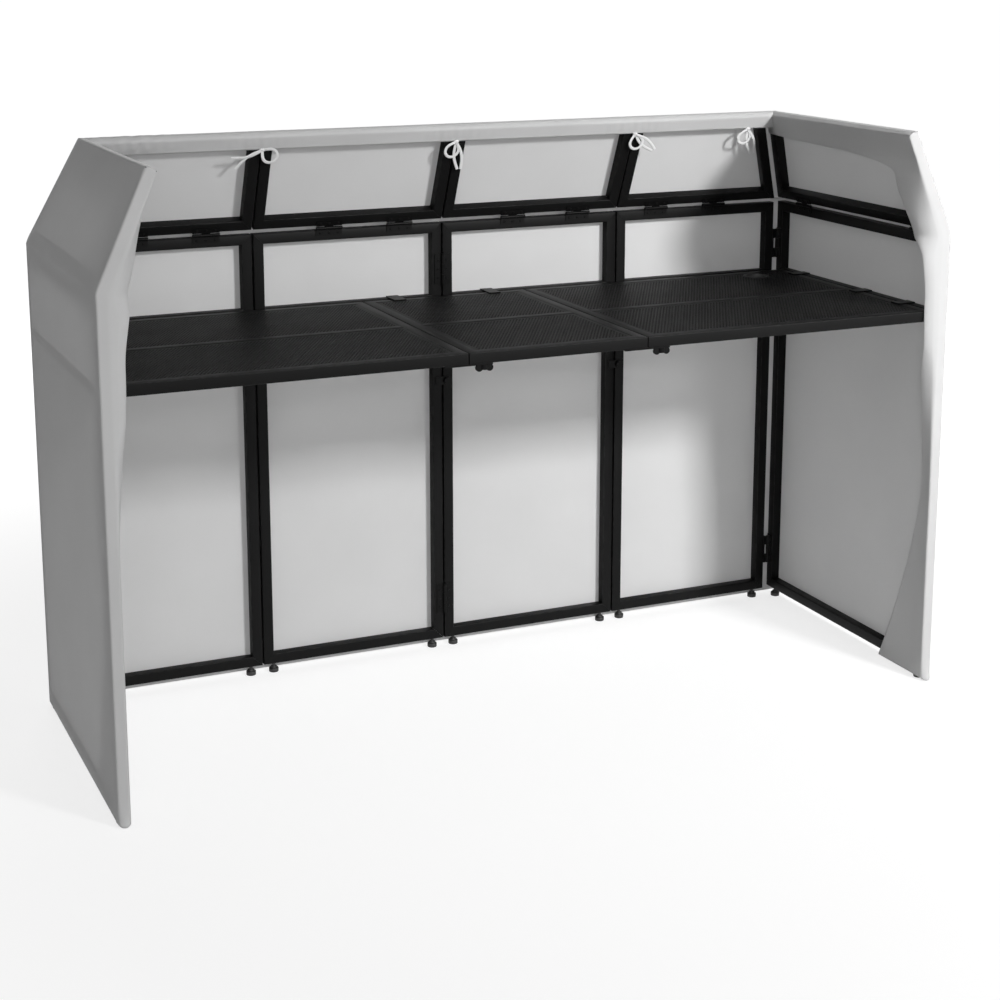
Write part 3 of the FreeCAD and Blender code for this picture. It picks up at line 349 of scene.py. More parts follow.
@dataclass(frozen=True)
class PowderCoat:
    """Black powder coat: fine orange peel, faint mottling, and paler edges that are partly rubbed wear and
    partly a painted highlight.
    """

    name: str = "black_powder_coat"
    colour: float = 0.007
    # Colour of the paler edges: rubbed wear, and a painted highlight along the tubes' corners.
    worn_and_highlit_edge: float = 0.035
    roughness: float = 0.44
    peel_scale: float = 650.0
    peel_depth: float = 0.00012

    def material(self) -> bpy.types.Material:
        """Make the material on Object coordinates, with paler edges, partly wear and partly painted
        highlight, from the piece's own attribute.

        Returns:
            The material.
        """
        nodes = NodeTree(self.name)
        place = nodes.add("ShaderNodeTexCoord").outputs["Object"]
        mottle = nodes.add("ShaderNodeTexNoise", {"Vector": place, "Scale": 9.0, "Detail": 4.0})
        scuff = nodes.add("ShaderNodeTexNoise", {"Vector": place, "Scale": 70.0, "Detail": 5.0})
        edge_share = nodes.add("ShaderNodeAttribute", attribute_name="edge_share")
        # Patches along the rounded corners are painted paler: rubbed wear, and a painted highlight on the
        # edges.
        worn_and_highlit_edge = nodes.add(
            "ShaderNodeMath", {0: edge_share.outputs["Fac"], 1: scuff.outputs["Fac"]}, operation="MULTIPLY")
        edge = nodes.add("ShaderNodeMapRange", {
            "Value": worn_and_highlit_edge.outputs[0], "From Min": 0.3, "From Max": 0.65, "To Min": 0.0, "To Max": 1.0})
        coat = nodes.blend(mottle.outputs["Fac"], grey(self.colour * 0.8), grey(self.colour * 1.3))
        colour = nodes.add(
            "ShaderNodeMix", {0: edge.outputs[0], 6: coat, 7: grey(self.worn_and_highlit_edge)}, data_type="RGBA")
        rough = nodes.add("ShaderNodeMapRange", {
            "Value": mottle.outputs["Fac"], "To Min": self.roughness - 0.06, "To Max": self.roughness + 0.08})
        peel = nodes.add("ShaderNodeTexNoise", {"Vector": place, "Scale": self.peel_scale, "Detail": 2.0})
        bump = nodes.add("ShaderNodeBump", {
            "Height": peel.outputs["Fac"], "Strength": 0.5, "Distance": self.peel_depth})
        shader = nodes.add("ShaderNodeBsdfPrincipled", {
            "Base Color": colour.outputs[2], "Roughness": rough.outputs[0], "Normal": bump.outputs[0],
            "Specular IOR Level": 0.08})
        return nodes.finish(shader.outputs[0])


@dataclass(frozen=True)
class StretchCloth:
    """White knitted stretch cloth that lets some light through."""

    name: str = "white_stretch_cloth"
    colour: float = 0.80
    shade: float = 0.74
    through: float = 0.30
    stitch: float = 0.0016
    roughness: float = 0.72
    seam: float = 0.3
    seam_width: float = 0.07
    seam_depth: float = 3.0

    def material(self) -> bpy.types.Material:
        """Make the material on the cloth's own UV map, laid out in metres.

        The knit is the product of two wave patterns, and a seam sinks in where the hem's attribute says so.

        Returns:
            The material.
        """
        nodes = NodeTree(self.name)
        flat = nodes.add("ShaderNodeTexCoord").outputs["UV"]
        cloud = nodes.add("ShaderNodeTexNoise", {"Vector": flat, "Scale": 5.0, "Detail": 3.0})
        colour = nodes.blend(cloud.outputs["Fac"], grey(self.shade), grey(self.colour))
        waves = [
            nodes.add("ShaderNodeTexWave", {"Vector": flat, "Scale": bands(self.stitch), "Distortion": 0.6},
                      wave_type="BANDS", bands_direction=direction)
            for direction in ("X", "Y")
        ]
        knit = nodes.add(
            "ShaderNodeMath", {0: waves[0].outputs["Fac"], 1: waves[1].outputs["Fac"]}, operation="MULTIPLY")
        edge = nodes.add("ShaderNodeAttribute", attribute_name="edge_share")
        seam = nodes.add(
            "ShaderNodeMath", {0: edge.outputs["Fac"], 1: self.seam, 2: self.seam_width}, operation="COMPARE")
        sewn = nodes.add(
            "ShaderNodeMath", {0: seam.outputs[0], 1: -self.seam_depth, 2: knit.outputs[0]},
            operation="MULTIPLY_ADD")
        bump = nodes.add("ShaderNodeBump", {"Height": sewn.outputs[0], "Strength": 0.25, "Distance": 0.0002})
        rough = nodes.add("ShaderNodeMapRange", {
            "Value": cloud.outputs["Fac"], "To Min": self.roughness - 0.05, "To Max": self.roughness + 0.05})
        front = nodes.add("ShaderNodeBsdfPrincipled", {
            "Base Color": colour, "Roughness": rough.outputs[0], "Normal": bump.outputs[0],
            "Sheen Weight": 0.15, "Specular IOR Level": 0.25})
        back = nodes.add("ShaderNodeBsdfTranslucent", {"Color": colour})
        mixed = nodes.add("ShaderNodeMixShader", {0: self.through, 1: front.outputs[0], 2: back.outputs[0]})
        return nodes.finish(mixed.outputs[0])


@dataclass(frozen=True)
class MouldedPlastic:
    """Black moulded plastic with a fine grain."""

    name: str = "black_moulded_plastic"
    colour: float = 0.016
    roughness: float = 0.5
    grain: float = 1100.0

    def material(self) -> bpy.types.Material:
        """Make the material on Object coordinates.

        Returns:
            The material.
        """
        nodes = NodeTree(self.name)
        place = nodes.add("ShaderNodeTexCoord").outputs["Object"]
        dust = nodes.add("ShaderNodeTexNoise", {"Vector": place, "Scale": 40.0, "Detail": 4.0})
        colour = nodes.blend(dust.outputs["Fac"], grey(self.colour * 0.7), grey(self.colour * 1.5))
        rough = nodes.add("ShaderNodeMapRange", {
            "Value": dust.outputs["Fac"], "To Min": self.roughness - 0.08, "To Max": self.roughness + 0.1})
        grain = nodes.add("ShaderNodeTexNoise", {"Vector": place, "Scale": self.grain, "Detail": 1.0})
        bump = nodes.add("ShaderNodeBump", {
            "Height": grain.outputs["Fac"], "Strength": 0.4, "Distance": 0.0001})
        shader = nodes.add("ShaderNodeBsdfPrincipled", {
            "Base Color": colour, "Roughness": rough.outputs[0], "Normal": bump.outputs[0]})
        return nodes.finish(shader.outputs[0])


@dataclass(frozen=True)
class WovenLace:
    """White flat woven lace with a slanting weave."""

    name: str = "white_woven_lace"
    colour: float = 0.92
    shade: float = 0.76
    weave: float = 0.0012

    def material(self) -> bpy.types.Material:
        """Make the material on the lace's own UV map: along it and across it, in metres.

        Returns:
            The material.
        """
        nodes = NodeTree(self.name)
        flat = nodes.add("ShaderNodeTexCoord").outputs["UV"]
        weave = nodes.add(
            "ShaderNodeTexWave", {"Vector": flat, "Scale": bands(self.weave), "Distortion": 0.4},
            wave_type="BANDS", bands_direction="DIAGONAL")
        colour = nodes.blend(weave.outputs["Fac"], grey(self.shade), grey(self.colour))
        bump = nodes.add("ShaderNodeBump", {
            "Height": weave.outputs["Fac"], "Strength": 0.5, "Distance": 0.0003})
        shader = nodes.add("ShaderNodeBsdfPrincipled", {
            "Base Color": colour, "Roughness": 0.8, "Normal": bump.outputs[0], "Sheen Weight": 0.2})
        return nodes.finish(shader.outputs[0])


class Finishes:
    """Every finish of the booth, each made once."""

    def __init__(self) -> None:
        """Make the materials."""
        self.coat = PowderCoat().material()
        self.deck = PowderCoat("black_deck_coat", 0.009, 0.03, 0.5).material()
        self.hinge = PowderCoat("black_hinge_coat", 0.005, 0.03, 0.36, 900.0, 0.00008).material()
        self.cloth = StretchCloth().material()
        self.plastic = MouldedPlastic().material()
        self.lace = WovenLace().material()

    @staticmethod
    def dress(piece: bpy.types.Object, material: bpy.types.Material) -> None:
        """Give a piece one material."""
        piece.data.materials.clear()
        piece.data.materials.append(material)


Place = Callable[[Array, Array, Array], Array]


def front_place(p: Array, q: Array, depth: Array) -> Array:
    """Front wall: p is X, q is Z and depth goes outwards from the inside face."""
    return np.stack([p, SIZES.wall_inside + depth, q], -1)


def front_flap_place(p: Array, q: Array, depth: Array) -> Array:
    """Front flap: p is X, q goes up the flap from its hinge line."""
    out, z = SIZES.leaning(SIZES.barrel + depth, q)
    return np.stack([p, SIZES.pin_y + out, z], -1)


def table_place(p: Array, q: Array, depth: Array) -> Array:
    """Table: p is X, q is Y and depth goes down from the table's top."""
    return np.stack([p, q, SIZES.table_top - depth], -1)


def wing_place(side: Side) -> Place:
    """Wing: p runs from the far end to the near one, q is Z.

    Args:
        side: the wing's end of the booth.

    Returns:
        The function that places points on that wing.
    """

    def place(p: Array, q: Array, depth: Array) -> Array:
        """Points of the wing, with depth outwards from its inside face."""
        return np.stack([side.value * (SIZES.wing_inside + depth), SIZES.far_end - p, q], -1)

    return place


def wing_flap_place(side: Side) -> Place:
    """Wing flap: p runs from the far end to the near one, q goes up the flap from its hinge line.

    Args:
        side: the flap's end of the booth.

    Returns:
        The function that places points on that flap.
    """

    def place(p: Array, q: Array, depth: Array) -> Array:
        """Points of the flap, with depth outwards from its inside face."""
        out, z = SIZES.leaning(SIZES.barrel + depth, q)
        return np.stack([side.value * (SIZES.wing_pin_x + out), SIZES.far_end - p, z], -1)

    return place


@dataclass
class TubeFrame:
    """Welded frame of square tube: four mitred sides round a window, and a cross rail."""

    name: str
    node: str
    body: str
    outline: Sequence[tuple[float, float]]
    place: Place
    rail: float | None = None
    corner_radius: float = 0.0022
    mitre_line: float = 0.00018
    corner_steps: int = 4

    def build(self, finishes: Finishes) -> bpy.types.Object:
        """Carry the rounded profile along each side, from mitre to mitre.

        A point a across the tube lies at a share a / tube of the way from the outer corner to the
        inner one at both ends of its side, so the ends come out mitred.

        Args:
            finishes: the booth's materials.

        Returns:
            The frame.
        """
        tube = SIZES.tube
        outer = np.asarray(self.outline, float)
        run = np.roll(outer, -1, axis=0) - outer
        run /= np.linalg.norm(run, axis=1, keepdims=True)
        inward = np.stack([-run[:, 1], run[:, 0]], -1)
        before = np.roll(inward, 1, axis=0)
        mitre = (inward + before) * tube / (1 + np.sum(inward * before, axis=1, keepdims=True))
        profile, edge_share = rounded_square(tube, self.corner_radius, self.corner_steps)
        share = profile[:, :1] / tube
        surface = Surface()
        for side in range(4):
            after = (side + 1) % 4
            start = outer[side] + share * mitre[side] + run[side] * self.mitre_line
            end = outer[after] + share * mitre[after] - run[side] * self.mitre_line
            self._tube(surface, start, end, profile[:, 1], edge_share)
        if self.rail is not None:
            low, high = outer[:, 0].min() + tube, outer[:, 0].max() - tube
            level = self.rail + profile[:, 0]
            start = np.stack([np.full_like(level, low), level], -1)
            end = np.stack([np.full_like(level, high), level], -1)
            self._tube(surface, start, end, profile[:, 1], edge_share)
        piece = surface.build(self.name, recalculate=True, sharp_degrees=50)
        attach(piece, self.body)
        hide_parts(self.node)
        finishes.dress(piece, finishes.coat)
        return piece

    def _tube(self, surface: Surface, start: Array, end: Array, depth: Array, edge_share: Array) -> None:
        """Add one tube with both ends closed.

        Args:
            surface: where the tube goes.
            start: the profile's points at one end, in the frame's plane.
            end: the same points at the other end.
            depth: the profile's points square to the plane.
            edge_share: how far each point of the profile is out on a rounded corner, which the coat paints
                paler as wear and as a painted highlight.
        """
        ends = np.stack([start, end])
        points = self.place(ends[..., 0], ends[..., 1], np.broadcast_to(depth, ends.shape[:2]))
        first = surface.add_grid(points, edge_share=np.broadcast_to(edge_share, ends.shape[:2]), wrap=True)
        count = len(depth)
        surface.faces.append(list(range(first, first + count)))
        surface.faces.append(list(range(first + count, first + 2 * count)))


@dataclass
class FrameSet:
    """All tube frames of the booth."""

    rail_low: float = SIZES.table_top - SIZES.tube

    def build(self, finishes: Finishes) -> list[bpy.types.Object]:
        """Build the wall, its flaps, the wings, their flaps and the table's three frames.

        Args:
            finishes: the booth's materials.

        Returns:
            The frames.
        """
        s = SIZES
        pieces = []
        edges = [-s.half_front, -s.fold_x, 0.0, s.fold_x, s.half_front]
        half_gap = 0.5 * s.gap
        for number in range(1, 5):
            low = edges[number - 1] + (half_gap if number > 1 else 0.0)
            high = edges[number] - (half_gap if number < 4 else 0.0)
            pieces.append(TubeFrame(
                f"wall_frame_{number}", f"panel_frame_{number}", "front_wall",
                self.box(low, high, s.low, s.top), front_place, self.rail_low).build(finishes))
            inset = s.flap_height * s.slope
            start, end = (inset if number == 1 else 0.0), (inset if number == 4 else 0.0)
            pieces.append(TubeFrame(
                f"front_flap_frame_{number}", f"flap_frame_{number}", "front_flaps",
                self.flap(low, high, start, end), front_flap_place).build(finishes))
        for side in Side:
            pieces.append(TubeFrame(
                f"{side.label}_wing_frame", f"wing_frame_{side.label}", f"{side.label}_wing",
                self.box(0.0, s.wing_length, s.low, s.top), wing_place(side), self.rail_low).build(finishes))
            pieces.append(TubeFrame(
                f"{side.label}_flap_frame", f"flap_frame_{side.label}", f"{side.label}_flap",
                self.flap(s.wing_flap_setback, s.wing_length, s.flap_height * s.slope, 0.0),
                wing_flap_place(side)).build(finishes))
        middle = 0.5 * (s.table_front + s.table_rear - s.tube)
        for label, low, high in (("left", -s.table_end, -s.table_seam - s.table_gap),
                                 ("centre", -s.table_seam + s.table_gap, s.table_seam - s.table_gap),
                                 ("right", s.table_seam + s.table_gap, s.table_end)):
            pieces.append(TubeFrame(
                f"{label}_table_frame", f"table_frame_{label}", "tabletop",
                self.box(low, high, s.table_front, s.table_rear), table_place, middle).build(finishes))
        return pieces

    @staticmethod
    def box(low: float, high: float, bottom: float, top: float) -> list[tuple[float, float]]:
        """Outer corners of an upright frame."""
        return [(low, bottom), (high, bottom), (high, top), (low, top)]

    @staticmethod
    def flap(low: float, high: float, start: float, end: float) -> list[tuple[float, float]]:
        """Outer corners of a flap.

        Args:
            low: where the flap starts.
            high: where it ends.
            start: how far its top is set in at the start.
            end: how far its top is set in at the end.

        Returns:
            The four corners.
        """
        bottom = 0.5 * SIZES.slit
        top = bottom + SIZES.flap_height
        return [(low, bottom), (high, bottom), (high - end, top), (low + start, top)]


@dataclass
class PerforatedDeck:
    """Steel sheets of the table, with rows of holes that stand half a pitch apart."""

    pitch: float = 0.008
    hole: float = 0.0026
    thickness: float = 0.0012
    drop: float = 0.001
    border: float = 0.004
    grommet: float = 0.0306

    def build(self, finishes: Finishes) -> list[bpy.types.Object]:
        """Build the six bays, two in each table frame.

        Args:
            finishes: the booth's materials.

        Returns:
            The sheets.
        """
        s = SIZES
        middle = 0.5 * (s.table_front + s.table_rear)
        bays = {"front": (s.table_front + s.tube, middle - 0.5 * s.tube),
                "rear": (middle + 0.5 * s.tube, s.table_rear - s.tube)}
        spans = {"left": (-s.table_end + s.tube, -s.table_seam - s.table_gap - s.tube),
                 "centre": (-s.table_seam + s.table_gap + s.tube, s.table_seam - s.table_gap - s.tube),
                 "right": (s.table_seam + s.table_gap + s.tube, s.table_end - s.tube)}
        pieces = []
        for label, span in spans.items():
            for bay, depth in bays.items():
                surface = self.bay(span, depth)
                piece = surface.build(f"{label}_deck_{bay}", sharp_degrees=30)
                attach(piece, "tabletop")
                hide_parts(f"table_sheet_{label}")
                finishes.dress(piece, finishes.deck)
                pieces.append(piece)
        return pieces

    def bay(self, span: tuple[float, float], depth: tuple[float, float]) -> Surface:
        """One sheet of brick cells, each a six-sided ring round a six-sided hole.

        A cell is as wide as the pitch and half the root of three as deep, every second row is moved
        by half a pitch, and what is left over round the rows is plain border. Cells that reach into the
        cable hole have those corners pushed out to its rim.

        Args:
            span: lowest and highest x of the bay.
            depth: lowest and highest y of the bay.

        Returns:
            The sheet's surface.
        """
        half = 0.5 * self.pitch
        rise = self.pitch * math.sqrt(3) / 2
        columns = int((span[1] - span[0] - 2 * self.border) / self.pitch)
        rows = int((depth[1] - depth[0] - 2 * self.border) / rise)
        x0 = 0.5 * (span[0] + span[1] - columns * self.pitch)
        y0 = 0.5 * (depth[0] + depth[1] - rows * rise)
        row, column = np.meshgrid(np.arange(rows), np.arange(columns), indexing="ij")
        shift = half * (row % 2)
        whole = (column < columns - 1) | (row % 2 == 0)
        low = np.stack([x0 + column * self.pitch + shift, y0 + row * rise], -1)[whole]
        ring = np.array([[0, 0], [half, 0], [2 * half, 0], [2 * half, rise], [half, rise], [0, rise]])
        outer = low[:, None] + ring
        angle = np.radians([210, 270, 330, 30, 90, 150])
        middle = low + np.array([half, 0.5 * rise])
        inner = middle[:, None] + self.hole * np.stack([np.cos(angle), np.sin(angle)], -1)

        centre = np.array([math.copysign(SIZES.grommet_x, span[0] + span[1]), SIZES.grommet_y])
        away = outer - centre
        distance = np.linalg.norm(away, axis=-1)
        inside = distance < self.grommet
        pushed = centre + away * (self.grommet / np.maximum(distance, 1e-6))[..., None]
        outer = np.where(inside[..., None], pushed, outer)
        keep = ~inside.all(axis=1)
        plain = inside.any(axis=1) & keep
        holed = keep & ~plain

        top = SIZES.table_top - self.drop
        surface = Surface()
        self._rings(surface, outer[holed], inner[holed], top)
        self._plates(surface, outer[plain], top)
        odd = np.arange(1, rows, 2)
        for x in (x0, x0 + columns * self.pitch - half):
            corners = np.array([[0, 0], [half, 0], [half, rise], [0, rise]])
            start = np.stack([np.full(len(odd), x), y0 + odd * rise], -1)
            self._plates(surface, start[:, None] + corners, top)
        xs = np.concatenate([[span[0]], x0 + half * np.arange(2 * columns + 1), [span[1]]])
        ys = y0 + rise * np.arange(rows + 1)
        for bottom, back in ((depth[0], y0), (y0 + rows * rise, depth[1])):
            self._border(surface, xs, np.array([bottom, back]), top)
        for start, end in ((span[0], x0), (x0 + columns * self.pitch, span[1])):
            self._border(surface, np.array([start, end]), ys, top)
        return surface

    def _layers(self, flat: Array, top: float) -> tuple[Array, Array]:
        """The same flat points on the sheet's top and under it."""
        over = np.concatenate([flat, np.full(flat.shape[:-1] + (1,), top)], -1)
        return over, over - np.array([0, 0, self.thickness])

    def _rings(self, surface: Surface, outer: Array, inner: Array, top: float) -> None:
        """Cells with holes: quads round the top, the hole's wall and the underside.

        Args:
            surface: where the cells go.
            outer: each cell's six outer corners.
            inner: the six corners of each hole.
            top: height of the sheet's top.
        """
        layers = [*self._layers(outer, top), *self._layers(inner, top)]
        points = np.stack(layers, 1)
        first = surface.add_points(points)
        here = np.arange(6)
        after = (here + 1) % 6
        out_top, out_low, in_top, in_low = 0, 6, 12, 18
        quads = np.concatenate([
            np.stack([out_top + here, out_top + after, in_top + after, in_top + here], -1),
            np.stack([in_top + here, in_top + after, in_low + after, in_low + here], -1),
            np.stack([out_low + after, out_low + here, in_low + here, in_low + after], -1),
        ])
        cells = np.arange(len(outer))[:, None, None] * 24
        surface.add_faces((cells + quads).reshape(-1, 4), first)

    def _plates(self, surface: Surface, corners: Array, top: float) -> None:
        """Cells without holes.

        Args:
            surface: where the cells go.
            corners: each cell's corners.
            top: height of the sheet's top.
        """
        for flat, turned in zip(self._layers(corners, top), (False, True)):
            first = surface.add_points(flat)
            index = np.arange(corners.shape[0] * corners.shape[1]).reshape(corners.shape[:2])
            surface.add_faces(index[:, ::-1] if turned else index, first)

    def _border(self, surface: Surface, xs: Array, ys: Array, top: float) -> None:
        """Plain strip on a grid of its own.

        Args:
            surface: where the strip goes.
            xs: the grid's places along x.
            ys: the grid's places along y.
            top: height of the sheet's top.
        """
        flat = np.stack(np.meshgrid(xs, ys), -1)
        for layer, turned in zip(self._layers(flat, top), (False, True)):
            surface.add_grid(layer, flip=turned)


def ease(share: Array | float) -> Array:
    """Smooth step from 0 to 1."""
    clipped = np.clip(share, 0.0, 1.0)
    return clipped * clipped * (3.0 - 2.0 * clipped)


def curve_between(start: Array, middle: Array, end: Array, share: Array) -> Array:
    """Quadratic curve from start to end, pulled towards middle."""
    return start * (1 - share) ** 2 + middle * 2 * share * (1 - share) + end * share ** 2


def round_corners(knots: Array, place: slice, radius: float, runs: Sequence[int], bends: int = 5) -> Array:
    """Chain of straight runs whose inner knots are rounded.

    Each inner knot gives way to a quadratic curve that leaves the runs a radius away from it on both sides
    and has the knot as its middle control point.

    Args:
        knots: rows of values, one row for each knot.
        place: the columns that are a place in space, in which the radius is measured.
        radius: distance from a knot at which its curve starts.
        runs: steps on each straight run.
        bends: steps on each curve.

    Returns:
        The rows along the rounded chain.
    """
    ahead = np.diff(knots, axis=0)
    cut = ahead * (radius / np.linalg.norm(ahead[:, place], axis=1))[:, None]
    starts, ends = knots[:-1] + cut, knots[1:] - cut
    starts[0], ends[-1] = knots[0], knots[-1]
    turn = np.linspace(0, 1, bends, endpoint=False)[:, None]
    rows = []
    for run, count in enumerate(runs):
        if run:
            rows.append(curve_between(ends[run - 1], knots[run], starts[run], turn))
        part = np.linspace(0, 1, count, endpoint=False)[:, None]
        rows.append(starts[run] + (ends[run] - starts[run]) * part)
    return np.concatenate(rows + [knots[-1:]])


@dataclass
class CoverShape:
    """Where the stretch cover lies: its layers, its low edge and its hems."""

    skin: float = 0.0008
    lift: float = 0.0009
    low: float = 0.008
    reach: float = 0.9516
    fold_low: float = 1.1025
    rim_hem: float = 0.035
    rim_swell: float = 0.0025
    hem_band: float = 0.012
    round: float = 0.0055

    @property
    def outer_depth(self) -> float:
        """Depth of the outer layer on a flap, from its hinge line."""
        return SIZES.barrel + SIZES.tube + self.lift

    @property
    def inner_depth(self) -> float:
        """Depth of the inner layer on a flap."""
        return SIZES.barrel - self.lift

    @property
    def flap_low(self) -> float:
        """Height on the flap where the outer layer leaves the fold."""
        return 0.5 * SIZES.slit + 0.0004

    @property
    def flap_top(self) -> float:
        """Height on the flap where the rim lies."""
        return 0.5 * SIZES.slit + SIZES.flap_height + self.lift

    def thicken(self, piece: bpy.types.Object) -> None:
        """Give the cloth its thickness, half of it on either side.

        Args:
            piece: the sheet.
        """
        solid = piece.modifiers.new("cloth", "SOLIDIFY")
        solid.thickness = self.skin
        solid.offset = 0.0


COVER = CoverShape()
KNOT_X = (-SIZES.fold_x, 0.0, SIZES.fold_x)


@dataclass
class FrontCover:
    """Front sheet of the cover: up the wall, over the slit and the flaps, round the rim to a hem."""

    columns: int = 320
    wall_rows: int = 24
    flap_rows: int = 14
    edge_columns: int = 7
    corner_round: float = 0.003
    mean_half: float = 0.93
    rim_and_hem: float = 0.075
    pull_reach: float = 0.070
    pull_waves: tuple = (0.034, 0.019, 2.2)
    pull_rise: float = 0.0006
    pull_depth: float = 0.0024
    slack_x: float = -0.77
    slack_reach: float = 0.085
    slack_waves: tuple = (0.046, 0.027, 3.4)
    slack_rise: float = 0.0014
    slack_depth: float = 0.0045

    def build(self, finishes: Finishes) -> list[bpy.types.Object]:
        """Build the sheet with its two upper corners, and the lower strips round the corners.

        Args:
            finishes: the booth's materials.

        Returns:
            The sheet and the two strips.
        """
        sheet = self.sheet()
        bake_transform(sheet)
        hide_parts("cover_front_lower", "cover_front_upper", "cover_seams")
        pieces = [sheet] + [self.corner(side) for side in Side]
        for piece in pieces:
            finishes.dress(piece, finishes.cloth)
            COVER.thicken(piece)
        return pieces

    def stations(self) -> Array:
        """Rows of the sheet from the floor to the hem: half width, corner reach, y, z and the run's number.

        Straight runs with rounded knots join the low edge, the fold, the flap's foot, the rim's two edges
        and the hem.

        Returns:
            One row of five values for each station.
        """
        c = COVER
        s = SIZES
        face = s.wall_outside + c.lift
        heights = np.array([c.flap_low, c.flap_top, c.flap_top, c.flap_top - c.rim_hem])
        depths = np.array([c.outer_depth, c.outer_depth, c.inner_depth, c.inner_depth])
        out, rise = s.leaning(depths, heights)
        inset = np.concatenate([[0.0, 0.0], (heights - c.flap_low) * s.slope])
        bend, _ = s.leaning(c.outer_depth, c.flap_low)
        corner = np.concatenate([[s.wing_outside + c.lift] * 2, s.wing_pin_x + bend - inset[2:]])
        y = np.concatenate([[face, face], s.pin_y + out])
        z = np.concatenate([[c.low, c.fold_low], rise])
        knots = np.stack([c.reach - inset, corner, y, z, np.arange(6.0)], -1)
        return round_corners(knots, slice(2, 4), c.round, (self.wall_rows, 3, self.flap_rows, 5, 8))

    def sheet(self) -> bpy.types.Object:
        """The main sheet: a row's point at share u across lies at u times the row's half width.

        Returns:
            The sheet.
        """
        rows = self.stations()
        half, reach = rows[:, :1], rows[:, 1:2]
        share = np.linspace(-1, 1, self.columns + 1)
        surface = Surface()
        self._rows(surface, half * share, rows)
        upper = rows[:, 4] >= 1
        edge = (half + (reach - half) * np.linspace(0, 1, self.edge_columns))[upper]
        self._rows(surface, edge, rows[upper])
        self._rows(surface, -edge[:, ::-1], rows[upper])
        piece = surface.build("front_cover", sharp_degrees=60)
        return piece

    def _rows(self, surface: Surface, x: Array, rows: Array) -> None:
        """Add a grid of the sheet, with the rim swollen and the small puckers of the ties in it.

        Across the rim the cloth rises by a squared sine. The puckers are two slanting sine waves of
        different lengths along X, under a bell curve round each knot, and coarser ones stand near the
        left corner. A row's run number is 3 and 4 at the rim's two edges and 5 at the hem.

        Args:
            surface: where the grid goes.
            x: the grid's places along x.
            rows: the stations that the grid's rows lie on.
        """
        step = np.broadcast_to(rows[:, 4:], x.shape)
        y = np.broadcast_to(rows[:, 2:3], x.shape).copy()
        z = np.broadcast_to(rows[:, 3:4], x.shape).copy()

        def ripples(along: Array, long: float, short: float, slant: float) -> Array:
            """Two sine waves that lean across the rim, between 0 and 1."""
            lean = slant * (step - 4)
            return 0.5 + 0.28 * np.sin(along * math.tau / long + lean) + 0.22 * np.sin(
                along * math.tau / short - 0.6 * lean + 1.1)

        band = ease((step - 2.7) / 0.3) * ease((5.0 - step) / 0.5)
        pull = sum(np.exp(-((x - knot) / self.pull_reach) ** 2) * ripples(x - knot, *self.pull_waves)
                   for knot in KNOT_X)
        slack = np.exp(-((x - self.slack_x) / self.slack_reach) ** 2) * ripples(x, *self.slack_waves)
        swell = COVER.rim_swell * np.sin(math.pi * np.clip(step - 3, 0, 1)) ** 2
        up = swell + band * ease((4.3 - step) / 0.6) * (self.pull_rise * pull + self.slack_rise * slack)
        off = band * ease((step - 3.4) / 0.5) * (self.pull_depth * pull + self.slack_depth * slack)
        cos, sin = math.cos(SIZES.lean), math.sin(SIZES.lean)
        y += -up * sin - off * cos
        z += up * cos - off * sin
        edge_share = np.clip(1 - (5 - step) * COVER.rim_hem / COVER.hem_band, 0, 1)
        flat = np.stack([x, z], -1)
        surface.add_grid(np.stack([x, y, z], -1), flat, edge_share, flip=True)

    def corner(self, side: Side) -> bpy.types.Object:
        """Lower strip round one corner: a level path of two runs, carried from the floor up.

        Args:
            side: the corner's end of the booth.

        Returns:
            The strip.
        """
        c = COVER
        s = SIZES
        outer_x = s.wing_outside + c.lift
        outer_y = s.wall_outside + c.lift
        knots = np.array([[c.reach, outer_y], [outer_x, outer_y], [outer_x, s.far_end]])
        path = round_corners(knots, slice(0, 2), self.corner_round, (8, 2))
        z = np.linspace(c.low, c.fold_low, self.wall_rows + 1)
        shape = (len(z), len(path))
        points = np.stack([np.broadcast_to(path[:, 0] * side.value, shape),
                           np.broadcast_to(path[:, 1], shape), np.broadcast_to(z[:, None], shape)], -1)
        flat = np.stack([points[..., 0] - points[..., 1] * side.value, points[..., 2]], -1)
        surface = Surface()
        surface.add_grid(points, flat, flip=side is Side.RIGHT)
        piece = surface.build(f"{side.label}_corner_cover", sharp_degrees=60)
        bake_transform(piece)
        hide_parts("cover_seams")
        return piece


